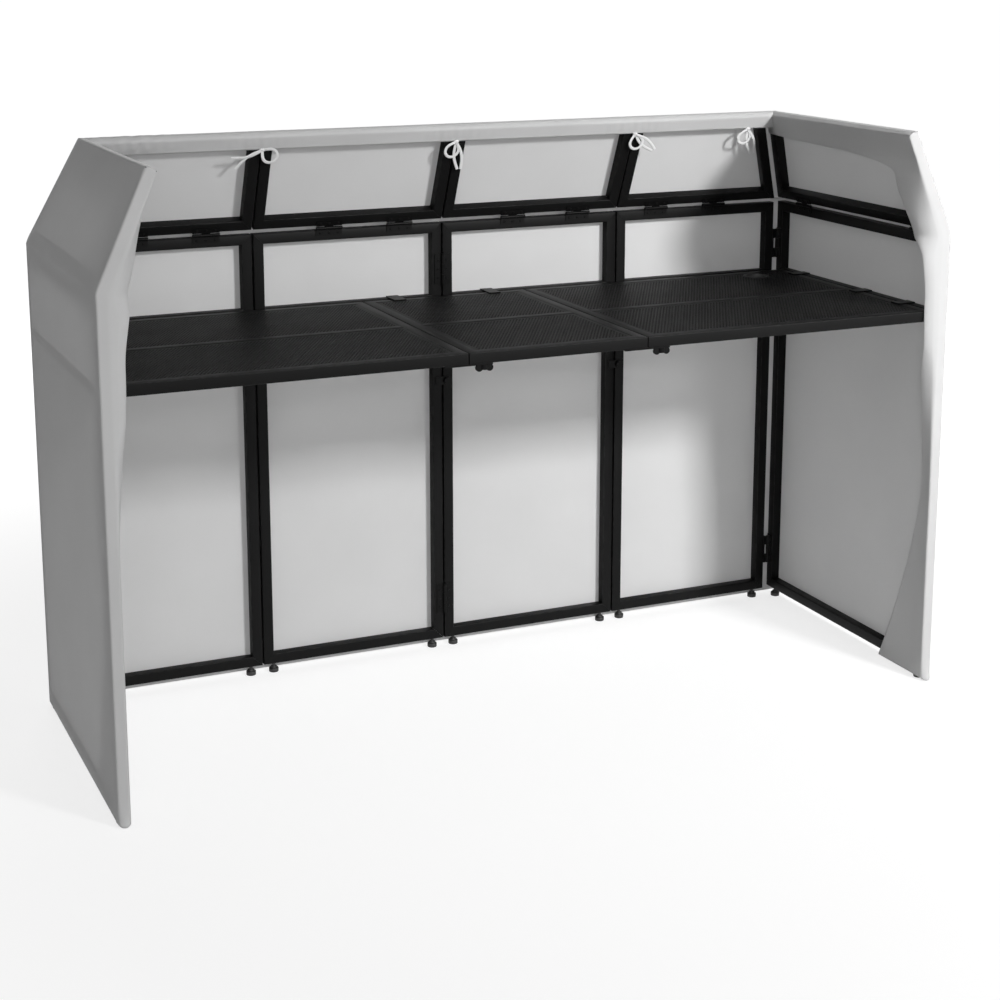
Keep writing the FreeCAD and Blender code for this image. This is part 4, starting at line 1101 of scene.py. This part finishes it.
@dataclass
class WingCover:
    """Cover of one wing: outer sheet, near strip, scooped inside hem and the rim over the flap."""

    side: Side
    columns: int = 30
    bends: int = 6
    strip_columns: int = 7
    run_rows: tuple = (10, 56, 3, 44)
    foot_top: float = 0.06
    far_clear: float = 0.0011
    waist: float = 0.030
    table_waist: float = 0.0145
    table_waist_from: float = 0.76
    table_waist_run: float = 0.09
    foot_reach: float = 0.150
    foot_height: float = 0.50
    foot_power: float = 1.45
    table_clear: float = 1.046
    slit_reach: float = 0.045
    slit_run: float = 0.055
    flap_reach: float = 0.075
    flap_share: float = 0.5
    sweep_start: float = 0.13
    sweep_power: int = 5
    lip: float = 0.029
    lip_from: float = 0.45
    lip_run: float = 0.5
    slit_lip: float = 0.045
    slit_lip_from: float = 0.95
    slit_lip_run: float = 0.15
    lip_fade_power: float = 1.3
    lip_fade_from: float = 0.06
    lip_fade_run: float = 0.25
    lip_curl: float = 0.6
    rim_hem: float = 0.058
    rim_ends: float = 0.03
    near_turn: float = 0.25
    pocket: float = 0.0065
    pocket_height: float = 0.012
    pocket_bulge: float = 0.008
    bulge_height: float = 0.025
    pocket_power: float = 0.7
    seam_top: float = 0.75
    flap_run: float = 0.264
    sloped_corner: float = 0.013
    strip_width: float = 0.027
    wall_hem: tuple = (0.058, 1.09)
    rim_band: tuple = (0.61, 0.082)
    foot_hem: float = 0.02
    rim_flat: tuple = (1.4, 0.02)

    def build(self, finishes: Finishes) -> bpy.types.Object:
        """Build the wing's cover as one sewn sheet.

        Args:
            finishes: the booth's materials.

        Returns:
            The cover.
        """
        label = self.side.label
        piece = self.sheet().build(f"{label}_wing_cover", sharp_degrees=60)
        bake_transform(piece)
        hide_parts(f"cover_{label}_lower", f"cover_{label}_upper", f"cover_fold_{label}")
        finishes.dress(piece, finishes.cloth)
        COVER.thicken(piece)
        return piece

    def rows(self) -> Array:
        """Rows of the sheet: outer x and z, inner x and z, far inset, near inset and share up the flap.

        Straight runs with rounded knots join the low edge, the fold, the flap's foot and the rim, whose two
        edges are quarter circles. The near end turns tighter, so that the tube's corner stays inside.

        Returns:
            One row of seven values for each level.
        """
        c = COVER
        s = SIZES
        outer_x = s.wing_outside + c.lift
        inner_x = s.wing_inside - c.lift
        turn = np.linspace(0, 0.5 * math.pi, self.bends)
        inset = np.concatenate([[0.0], c.round * (1 - np.cos(turn))])
        height = np.concatenate([[c.flap_low], c.flap_top - c.round * (1 - np.sin(turn))])
        outer, outer_z = s.leaning(c.outer_depth - inset, height)
        inner, inner_z = s.leaning(c.inner_depth + inset, height)
        start = self.far_clear + (height - c.flap_low) * s.slope
        share = (height - c.flap_low) / (c.flap_top - c.flap_low)
        near = self.near_turn * inset
        flap = np.stack(
            [s.wing_pin_x + outer, outer_z, s.wing_pin_x + inner, inner_z, start, near, share], -1)
        wall = np.array([[outer_x, z, inner_x, min(z, s.top), 0.0, 0.0, 0.0]
                         for z in (c.low, self.foot_top, c.fold_low)])
        chain = round_corners(np.concatenate([wall, flap[:2]]), slice(0, 2), c.round, self.run_rows)
        return np.concatenate([chain, flap[2:]])

    def hem(self, rows: Array) -> tuple[Array, Array]:
        """How far the hem's free edge stands behind the near strip and inwards of it, for each row.

        It is long at the floor, falls off by a power curve to a narrow lip in front of the table, widens
        again at the slit, and on the flap sweeps by another power curve from the near edge to the far one.

        Args:
            rows: the sheet's rows.

        Returns:
            The distances behind the strip, and those inwards of it.
        """
        z, share = rows[:, 3], rows[:, 6]
        full = SIZES.wing_length + COVER.lift - rows[:, 4] - rows[:, 5]
        back = self.waist + self.foot_reach * np.clip(1 - z / self.foot_height, 0, 1) ** self.foot_power
        back -= (self.waist - self.table_waist) * ease((z - self.table_waist_from) / self.table_waist_run)
        back += (self.slit_reach - self.table_waist) * ease((z - self.table_clear) / self.slit_run)
        back += (self.flap_reach - self.slit_reach) * ease(share / self.flap_share)
        height = COVER.flap_low + share * (COVER.flap_top - COVER.flap_low)
        rim_edge = COVER.flap_top - self.rim_hem
        sweep = np.clip((height - self.sweep_start) / (rim_edge - self.sweep_start), 0, 1)
        back += (full - back) * sweep ** self.sweep_power
        lip = self.lip * ease((z - self.lip_from) / self.lip_run)
        lip += (self.slit_lip - self.lip) * ease((z - self.slit_lip_from) / self.slit_lip_run)
        return back, lip * (1 - share ** self.lip_fade_power)

    def sheet(self) -> Surface:
        """Each row goes along the outside, round to the near strip, across it and back along the inside hem.

        The hem leaves the strip by a power curve, so that a wide lip carries on the strip's own direction.
        At the foot the strip hangs as a small pocket: it sinks and bulges by an exponential of the height and
        half a sine wave across. The rim is closed by straight lines with a squared sine on them.

        Returns:
            The cover's surface.
        """
        rows = self.rows()
        back, lip = self.hem(rows)
        count = len(rows)
        near = SIZES.near_end - COVER.lift + rows[:, 5]
        far = SIZES.far_end - rows[:, 4]
        outer = np.stack([rows[:, 0], near, rows[:, 1]], -1)[:, None]
        inner = np.stack([rows[:, 2], near, rows[:, 3]], -1)[:, None]
        across = inner - outer
        across *= COVER.round / np.linalg.norm(across, axis=-1, keepdims=True)
        behind = np.array([0.0, COVER.round, 0.0])
        bend = np.linspace(0, 1, self.bends, endpoint=False)[None, :, None]
        part = np.linspace(0, 1, self.columns)

        outside = np.repeat(outer, self.columns, axis=1)
        outside[..., 1] = far[:, None] + (near + COVER.round - far)[:, None] * part
        power = 1 + self.lip_curl * lip[:, None] / self.slit_lip
        first = np.minimum(0.3, COVER.round / back)[:, None]
        share = first + (1 - first) * part
        reach = back[:, None] * share ** power
        hem = np.repeat(inner, self.columns, axis=1)
        fade = 1 - ease((reach - self.lip_fade_from) / self.lip_fade_run)
        hem[..., 0] -= lip[:, None] * (1 - (1 - share) ** power) * fade
        hem[..., 1] += reach
        strip_start, strip_end = outer + across, inner - across
        strip_share = np.linspace(0, 1, self.strip_columns)[None, :, None]
        strip = strip_start + (strip_end - strip_start) * strip_share
        grid = np.concatenate([
            outside, curve_between(outer + behind, outer, strip_start, bend)[:, 1:], strip,
            curve_between(hem[:, :1], inner, strip_end, bend)[:, :0:-1], hem], axis=1)

        side = np.clip((rows[:, :1] - grid[..., 0]) / (rows[:, :1] - rows[:, 2:3]), 0, 1)
        weight = np.sin(math.pi * side) ** self.pocket_power
        above = grid[..., 2] - COVER.low
        grid[..., 2] -= self.pocket * weight * np.exp(-above / self.pocket_height)
        grid[..., 1] -= self.pocket_bulge * weight * np.exp(-above / self.bulge_height)

        half = self.columns + self.bends
        start, end = grid[-1, :half], grid[-1, :-half - 1:-1]
        rise = np.linspace(0, 1, self.strip_columns)[:, None, None]
        rim = start + (end - start) * rise
        ends = ease((rim[..., 1] - near[-1]) / self.rim_ends)
        swell = COVER.rim_swell * np.sin(math.pi * rise[..., 0]) ** 2 * ends
        rim[..., 0] -= swell * math.sin(SIZES.lean)
        rim[..., 2] += swell * math.cos(SIZES.lean)

        width = np.hypot(back, lip)[:, None]
        hem_wear = np.clip(1 - (1 - share) * width / COVER.hem_band, 0, 1)
        hem_wear *= rows[:, 6:] < self.seam_top
        edge_share = np.concatenate([np.zeros((count, grid.shape[1] - self.columns)), hem_wear], axis=1)
        run = np.cumsum(np.linalg.norm(np.diff(grid, axis=1, prepend=grid[:, :1]), axis=-1), axis=1)
        flat = np.stack([run, np.broadcast_to(rows[:, 1:2], run.shape)], -1)
        rim_flat = np.stack([np.broadcast_to(rim[:1, :, 1], rim.shape[:2]),
                             np.broadcast_to(self.rim_flat[0] + self.rim_flat[1] * rise[..., 0],
                                             rim.shape[:2])], -1)
        surface = Surface()
        sign = np.array([self.side.value, 1, 1])
        right = self.side is Side.RIGHT
        surface.add_grid(grid * sign, flat, edge_share, flip=right)
        surface.add_grid(rim * sign, rim_flat, flip=right)
        return surface


@dataclass
class TieBow:
    """Flat lace tied round the rim: a knot, one loop and two tails, in the plane of the front hem."""

    number: int
    x: float
    loop_degrees: float
    tail_degrees: tuple[float, float]
    width: float = 0.0072
    thickness: float = 0.0018
    tail: float = 0.074
    around: int = 10
    edge_power: float = 0.6
    knot_height: float = 0.2215
    knot_size: tuple[float, float, float] = (0.0062, 0.0048, 0.0028)
    knot_off: float = 0.0018
    depth: float = 0.0004

    def build(self, finishes: Finishes) -> list[bpy.types.Object]:
        """Build the knot, the loop and the tails.

        Args:
            finishes: the booth's materials.

        Returns:
            The four pieces.
        """
        knot = self.knot()
        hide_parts(f"tie_bow_{self.number}")
        pieces = [knot]
        laces = {"loop": self._loop_route(),
                 "tail_1": self._tail_route(self.tail_degrees[0], 1),
                 "tail_2": self._tail_route(self.tail_degrees[1], -1)}
        for part, route in laces.items():
            piece, line = self.ribbon(f"tie_bow_{self.number}_{part}", route)
            pieces.append(piece)
        for piece in pieces:
            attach(piece, "front_flaps")
            finishes.dress(piece, finishes.lace)
        return pieces

    def _place(self, across: Array, up: Array, off: Array) -> Array:
        """Points of the bow: across and up from the knot in the hem's plane, and off it towards the table."""
        out, z = SIZES.leaning(self.depth - off, self.knot_height + up)
        return np.stack([self.x + across, SIZES.pin_y + out, z], -1)

    def _loop_route(self) -> Array:
        """Control points of the loop: out to one side, round the end and back to the other.

        Returns:
            The points.
        """
        along = np.array([0.003, 0.008, 0.0205, 0.0333, 0.0403, 0.0403, 0.0333, 0.0205, 0.008, 0.003])
        side = np.array([0.0022, 0.0106, 0.0182, 0.015, 0.006, -0.006, -0.015, -0.0182, -0.0106, -0.0022])
        off = np.array([0.002, 0.0045, 0.0055, 0.0065, 0.007, 0.0075, 0.0072, 0.0065, 0.0055, 0.002])
        return self._turned(along, side, off, self.loop_degrees)

    def _tail_route(self, degrees: float, bend: int) -> Array:
        """Control points of a tail: out along its direction with a lazy bend, its end hanging free.

        Args:
            degrees: the tail's direction in the hem's plane, up from +X.
            bend: 1 or -1, the side that it bends to.

        Returns:
            The points.
        """
        along = np.concatenate([[0.004], np.array([0.25, 0.5, 0.75, 1.0]) * self.tail])
        side = bend * np.array([0.0, 0.004, 0.005, 0.001, -0.006])
        off = np.array([0.0015, 0.003, 0.004, 0.005, 0.006]) + (0.0025 if bend > 0 else 0.0)
        return self._turned(along, side, off, degrees)

    def _turned(self, along: Array, side: Array, off: Array, degrees: float) -> Array:
        """Turn a route drawn along a line into the line's own direction.

        Args:
            along: distances along the line.
            side: distances to its side.
            off: distances off the hem's plane.
            degrees: the line's direction in that plane, up from +X.

        Returns:
            The route's points.
        """
        turn = math.radians(degrees)
        across = along * math.cos(turn) - side * math.sin(turn)
        up = along * math.sin(turn) + side * math.cos(turn)
        return self._place(across, up, off)

    def ribbon(self, name: str, route: Array) -> tuple[bpy.types.Object, Array]:
        """Lace along a smooth line: a flat rounded section kept square to the line and flat to the hem.

        Args:
            name: the piece's name.
            route: control points of the line.

        Returns:
            The piece, and the points of its line.
        """
        line = smooth_line(route)
        forward = np.gradient(line, axis=0)
        forward /= np.linalg.norm(forward, axis=1, keepdims=True)
        face = np.array([0.0, -math.cos(SIZES.lean), -math.sin(SIZES.lean)])
        across = np.cross(forward, face)
        across /= np.linalg.norm(across, axis=1, keepdims=True)
        up = np.cross(across, forward)
        angle = np.linspace(0, 2 * math.pi, self.around, endpoint=False)
        flat = np.sign(np.cos(angle)) * np.abs(np.cos(angle)) ** self.edge_power * 0.5 * self.width
        thick = np.sin(angle) * 0.5 * self.thickness
        points = line[:, None] + across[:, None] * flat[None, :, None] + up[:, None] * thick[None, :, None]
        run = np.concatenate([[0.0], np.cumsum(np.linalg.norm(np.diff(line, axis=0), axis=1))])
        grid = points.shape[:2]
        uv = np.stack([np.broadcast_to(run[:, None], grid), np.broadcast_to(flat, grid)], -1)
        surface = Surface()
        first = surface.add_grid(points, uv, wrap=True)
        last = first + self.around * (len(line) - 1)
        for end in (first, last):
            surface.faces.append(list(range(end, end + self.around)))
        return surface.build(name, recalculate=True, sharp_degrees=70), line

    def knot(self) -> bpy.types.Object:
        """Knot: a squat ball whose radius swells along three slanting turns of lace.

        Returns:
            The knot.
        """
        turn = np.linspace(0, 2 * math.pi, 28, endpoint=False)
        tilt = np.linspace(0, math.pi, 15)
        tilt, turn = np.meshgrid(tilt, turn, indexing="ij")
        swell = 1 + 0.10 * np.sin(3 * turn + 2.5 * np.cos(tilt)) * np.sin(tilt)
        across = self.knot_size[0] * swell * np.sin(tilt) * np.cos(turn)
        up = self.knot_size[1] * swell * np.sin(tilt) * np.sin(turn)
        off = self.knot_size[2] * swell * np.cos(tilt) + self.knot_off
        surface = Surface()
        surface.add_grid(self._place(across, up, off), np.stack([across, up], -1), wrap=True)
        return surface.build(f"tie_bow_{self.number}_knot", recalculate=True)


def smooth_line(route: Array) -> Array:
    """Points of a smooth curve of order three whose control points are the route.

    Args:
        route: the control points.

    Returns:
        Points along the curve.
    """
    curve = bpy.data.curves.new("route", "CURVE")
    curve.dimensions = "3D"
    curve.resolution_u = 8
    spline = curve.splines.new("NURBS")
    spline.points.add(len(route) - 1)
    spline.points.foreach_set("co", np.concatenate([route, np.ones((len(route), 1))], 1).ravel())
    spline.order_u = 3
    spline.use_endpoint_u = True
    holder = bpy.data.objects.new("route", curve)
    bpy.context.scene.collection.objects.link(holder)
    mesh = bpy.data.meshes.new_from_object(holder)
    points = np.empty(len(mesh.vertices) * 3)
    mesh.vertices.foreach_get("co", points)
    bpy.data.objects.remove(holder)
    bpy.data.curves.remove(curve)
    bpy.data.meshes.remove(mesh)
    return points.reshape(-1, 3)


@dataclass
class Hardware:
    """Feet, grommets and screws, turned about their axes, and the finish of the plain fittings."""

    foot_profile: tuple = ((0.0, 0.0), (0.0104, 0.0), (0.0116, 0.0006), (0.012, 0.0018), (0.012, 0.0092),
                           (0.0114, 0.0104), (0.0102, 0.011), (0.0082, 0.0114), (0.0078, 0.0142),
                           (0.0070, 0.015), (0.0042, 0.0151), (0.0040, 0.0160), (0.0040, 0.040), (0.0, 0.040))
    grommet_profile: tuple = ((0.027, -0.014), (0.0295, -0.014), (0.030, -0.0135), (0.030, 0.0),
                              (0.0335, 0.0), (0.034, 0.0006), (0.0334, 0.0015), (0.0318, 0.002),
                              (0.0284, 0.002), (0.0274, 0.0015), (0.027, 0.0006), (0.027, -0.014))
    grommet_seat: float = 0.001
    screw_profile: tuple = ((0.0, 0.0004), (0.0009, 0.0004), (0.0010, 0.0011), (0.0014, 0.0013),
                            (0.0024, 0.0010), (0.0031, 0.0004), (0.0033, 0.0))
    flap_hinge_x: tuple = (-0.761, -0.592, -0.291, -0.112, 0.189, 0.368, 0.592, 0.761)
    wing_hinge_y: tuple = (0.2225, -0.2725)
    panel_hinge_z: tuple = (0.980, 0.131)
    screw_rise: float = 0.0115
    screw_spread: tuple = (-0.022, 0.0, 0.022)
    leaf_face: float = 0.002
    foot_segments: int = 28
    grommet_segments: int = 48
    screw_segments: int = 12

    def build(self, finishes: Finishes) -> list[bpy.types.Object]:
        """Build the turned pieces and dress the CAD fittings that stay.

        Args:
            finishes: the booth's materials.

        Returns:
            The new pieces.
        """
        pieces = self.feet(finishes) + [self.grommets(finishes)] + self.screws(finishes)
        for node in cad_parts.values():
            if not node.hide_render:
                finishes.dress(node, finishes.hinge)
        return pieces

    def feet(self, finishes: Finishes) -> list[bpy.types.Object]:
        """Levelling feet: a round pad with soft edges, a collar and a stem.

        Args:
            finishes: the booth's materials.

        Returns:
            The twelve feet.
        """
        profile = np.array(self.foot_profile)
        pieces = []
        for number in range(1, 13):
            node = f"levelling_foot_{number}"
            low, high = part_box(node)
            centre = np.array([[0.5 * (low.x + high.x), 0.5 * (low.y + high.y), 0.0]])
            piece = lathe(profile, centre, self.foot_segments).build(f"foot_{number}", recalculate=True)
            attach(piece, node)
            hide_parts(node)
            finishes.dress(piece, finishes.plastic)
            pieces.append(piece)
        return pieces

    def grommets(self, finishes: Finishes) -> bpy.types.Object:
        """Cable grommets: a sleeve with a rounded flange.

        Args:
            finishes: the booth's materials.

        Returns:
            Both grommets as one piece.
        """
        seat = SIZES.table_top - self.grommet_seat
        centres = np.array([[side.value * SIZES.grommet_x, SIZES.grommet_y, seat] for side in Side])
        rings = lathe(np.array(self.grommet_profile), centres, self.grommet_segments)
        piece = rings.build("cable_rings", recalculate=True)
        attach(piece, "tabletop")
        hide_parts("cable_grommets")
        finishes.dress(piece, finishes.plastic)
        return piece

    def screws(self, finishes: Finishes) -> list[bpy.types.Object]:
        """Button-head screws on the leaves of the flap hinges and of the hinges between the panels.

        Args:
            finishes: the booth's materials.

        Returns:
            One piece of screws for each body.
        """
        s = SIZES
        rise, face, spread = self.screw_rise, self.leaf_face, self.screw_spread
        angle = np.linspace(0, 2 * math.pi, self.screw_segments, endpoint=False)
        profile = np.array(self.screw_profile)
        head_p = profile[:, :1] * np.cos(angle)
        head_q = profile[:, :1] * np.sin(angle)
        head_off = np.broadcast_to(profile[:, 1:], head_p.shape)
        rows = {
            "front_wall": [(x + d, -rise) for x in self.flap_hinge_x for d in spread],
            "front_flaps": [(x + d, rise) for x in self.flap_hinge_x for d in spread],
        }
        pieces = []
        for body, spots in rows.items():
            surface = Surface()
            for x, height in spots:
                if body == "front_wall":
                    points = np.stack([x + head_p, s.pin_y + face - head_off, s.pin_z + height + head_q], -1)
                else:
                    out, z = s.leaning(face - head_off, height + head_q)
                    points = np.stack([x + head_p, s.pin_y + out, z], -1)
                surface.add_grid(points, wrap=True)
            if body == "front_wall":
                for z in self.panel_hinge_z:
                    for dx in (-rise, rise):
                        for d in spread:
                            surface.add_grid(np.stack([
                                dx + head_p, s.pin_y + face - head_off, z + d + head_q], -1), wrap=True)
            pieces.append(self._screw_piece(surface, f"{body}_screws", body, finishes))
        for side in Side:
            for body in ("wing", "flap"):
                surface = Surface()
                for y in self.wing_hinge_y:
                    for d in spread:
                        if body == "wing":
                            out, z = face - head_off, s.pin_z - rise + head_q
                        else:
                            out, z = s.leaning(face - head_off, rise + head_q)
                        surface.add_grid(np.stack([
                            side.value * (s.wing_pin_x + out), y + d + head_p, z], -1), wrap=True)
                name = f"{side.label}_{body}"
                pieces.append(self._screw_piece(surface, f"{name}_screws", name, finishes))
        return pieces

    @staticmethod
    def _screw_piece(surface: Surface, name: str, body: str, finishes: Finishes) -> bpy.types.Object:
        """Make one body's screws a piece.

        Args:
            surface: the screws' heads.
            name: the piece's name.
            body: the body that it rides on.
            finishes: the booth's materials.

        Returns:
            The piece.
        """
        piece = surface.build(name)
        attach(piece, body)
        finishes.dress(piece, finishes.hinge)
        return piece


@dataclass(frozen=True)
class Lamp:
    """One square soft lamp aimed at a point, with its beam's spread in degrees."""

    name: str
    place: tuple
    target: tuple
    size: float
    power: float
    spread: float = 180.0

    def build(self) -> None:
        """Make the lamp, unseen by the camera."""
        light = bpy.data.lights.new(self.name, "AREA")
        light.shape = "SQUARE"
        light.size = self.size
        light.energy = self.power
        light.spread = math.radians(self.spread)
        lamp = bpy.data.objects.new(self.name, light)
        way = np.array(self.place) - np.array(self.target)
        level = math.hypot(way[0], way[1])
        lamp.location = self.place
        lamp.visible_camera = False
        lamp.rotation_euler = (math.atan2(level, way[2]), 0.0, math.atan2(way[1], way[0]) + 0.5 * math.pi)
        bpy.context.scene.collection.objects.link(lamp)


LAMPS = (
    Lamp("key", (2.3, -5.0, 3.5), (1.2, 0.3, 0.8), 0.8, 41.0, 62.0),
    Lamp("front", (1.9, -3.6, 0.9), (0.6, 0.3, 0.6), 1.2, 15.0),
    Lamp("back", (0.3, 5.0, 2.0), (0.0, 0.2, 0.9), 2.0, 60.0),
    Lamp("fill", (-1.7, -4.4, 1.4), (0.6, 0.2, 0.7), 2.0, 27.0),
)


@dataclass
class Studio:
    """Pale floor, soft lamps and the camera."""

    camera_place: tuple = (-1.7514, -3.9626, 1.7513)
    camera_turn: tuple = (1.3634, 0.0, -0.4179)
    lens: float = 68.79
    shift_y: float = -0.15
    floor_size: float = 400.0
    floor_near_glow: float = 0.76
    floor_far_glow: float = 0.95
    glow_from: float = 1.2
    glow_to: float = 3.2
    floor_bounce: float = 0.62
    floor_seen: float = 0.36
    sky: float = 0.2

    def build(self) -> None:
        """Make the camera, the floor, the sky and the lamps."""
        scene = bpy.context.scene
        scene.view_settings.view_transform = "Standard"
        lens = bpy.data.cameras.new("camera")
        lens.lens = self.lens
        lens.sensor_width = 36.0
        lens.shift_y = self.shift_y
        lens.clip_end = 600.0
        camera = bpy.data.objects.new("camera", lens)
        camera.location = self.camera_place
        camera.rotation_euler = self.camera_turn
        scene.collection.objects.link(camera)
        scene.camera = camera
        self._floor()
        self._sky(scene)
        for lamp in LAMPS:
            lamp.build()

    def _floor(self) -> None:
        """Flat floor that keeps the shadow and shows white to the camera where it is lit."""
        half = 0.5 * self.floor_size
        surface = Surface()
        axis = np.array([-half, half])
        x, y = np.meshgrid(axis, axis)
        surface.add_grid(np.stack([x, y, np.zeros_like(x)], -1))
        floor = surface.build("floor")
        nodes = NodeTree("pale_floor")
        path = nodes.add("ShaderNodeLightPath")
        seen = path.outputs["Is Camera Ray"]
        for kind in ("Is Glossy Ray", "Is Transmission Ray"):
            total = nodes.add(
                "ShaderNodeMath", {0: seen, 1: path.outputs[kind]}, operation="ADD", use_clamp=True)
            seen = total.outputs[0]
        place = nodes.add("ShaderNodeTexCoord").outputs["Object"]
        away = nodes.add("ShaderNodeVectorMath", {0: place}, operation="LENGTH")
        glow = nodes.add("ShaderNodeMapRange", {
            "Value": away.outputs["Value"], "From Min": self.glow_from, "From Max": self.glow_to,
            "To Min": self.floor_near_glow, "To Max": self.floor_far_glow}, interpolation_type="SMOOTHSTEP")
        glow = nodes.add("ShaderNodeMath", {0: seen, 1: glow.outputs[0]}, operation="MULTIPLY")
        white = nodes.add("ShaderNodeEmission", {"Color": grey(1.0), "Strength": glow.outputs[0]})
        tone = nodes.add("ShaderNodeMapRange", {
            "Value": path.outputs["Is Camera Ray"], "To Min": self.floor_bounce,
            "To Max": self.floor_seen})
        plain = nodes.add("ShaderNodeBsdfDiffuse", {"Color": tone.outputs[0]})
        both = nodes.add("ShaderNodeAddShader", {0: plain.outputs[0], 1: white.outputs[0]})
        floor.data.materials.append(nodes.finish(both.outputs[0]))

    def _sky(self, scene: bpy.types.Scene) -> None:
        """White sky for the camera and for reflections, and a dimmer one as light.

        Args:
            scene: the scene that gets the sky.
        """
        world = bpy.data.worlds.new("studio")
        world.use_nodes = True
        scene.world = world
        tree = world.node_tree
        tree.nodes.clear()
        path = tree.nodes.new("ShaderNodeLightPath")
        total = path.outputs["Is Camera Ray"]
        for name in ("Is Glossy Ray", "Is Transmission Ray"):
            add = tree.nodes.new("ShaderNodeMath")
            add.operation = "ADD"
            add.use_clamp = True
            tree.links.new(total, add.inputs[0])
            tree.links.new(path.outputs[name], add.inputs[1])
            total = add.outputs[0]
        strength = tree.nodes.new("ShaderNodeMapRange")
        strength.inputs["To Min"].default_value = self.sky
        strength.inputs["To Max"].default_value = 1.0
        tree.links.new(total, strength.inputs["Value"])
        sky = tree.nodes.new("ShaderNodeBackground")
        sky.inputs["Color"].default_value = grey(1.0)
        tree.links.new(strength.outputs[0], sky.inputs["Strength"])
        out = tree.nodes.new("ShaderNodeOutputWorld")
        tree.links.new(sky.outputs[0], out.inputs["Surface"])


# The last lace is tied near the right end of the rim, which is set in by the slope of the flap.
CORNER_KNOT_X = SIZES.half_front - 0.2309 * SIZES.slope - 0.05
BOWS = (
    TieBow(1, KNOT_X[0], -35, (195, 212)),
    TieBow(2, KNOT_X[1], -115, (-70, -85)),
    TieBow(3, KNOT_X[2], -75, (-30, -45)),
    TieBow(4, CORNER_KNOT_X, 250, (-60, -76)),
)


def main() -> None:
    """Build every sub-assembly in order and say what was built."""
    logging.basicConfig(level=logging.INFO, format="%(name)s: %(message)s")
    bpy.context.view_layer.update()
    Studio().build()
    finishes = Finishes()
    builders = [FrameSet(), PerforatedDeck(), FrontCover(), *(WingCover(side) for side in Side), *BOWS,
                Hardware()]
    for builder in builders:
        made = builder.build(finishes)
        for piece in made if isinstance(made, list) else [made]:
            log.info("%s: %d faces", piece.name, len(piece.data.polygons))


if __name__ == "__main__":
    main()
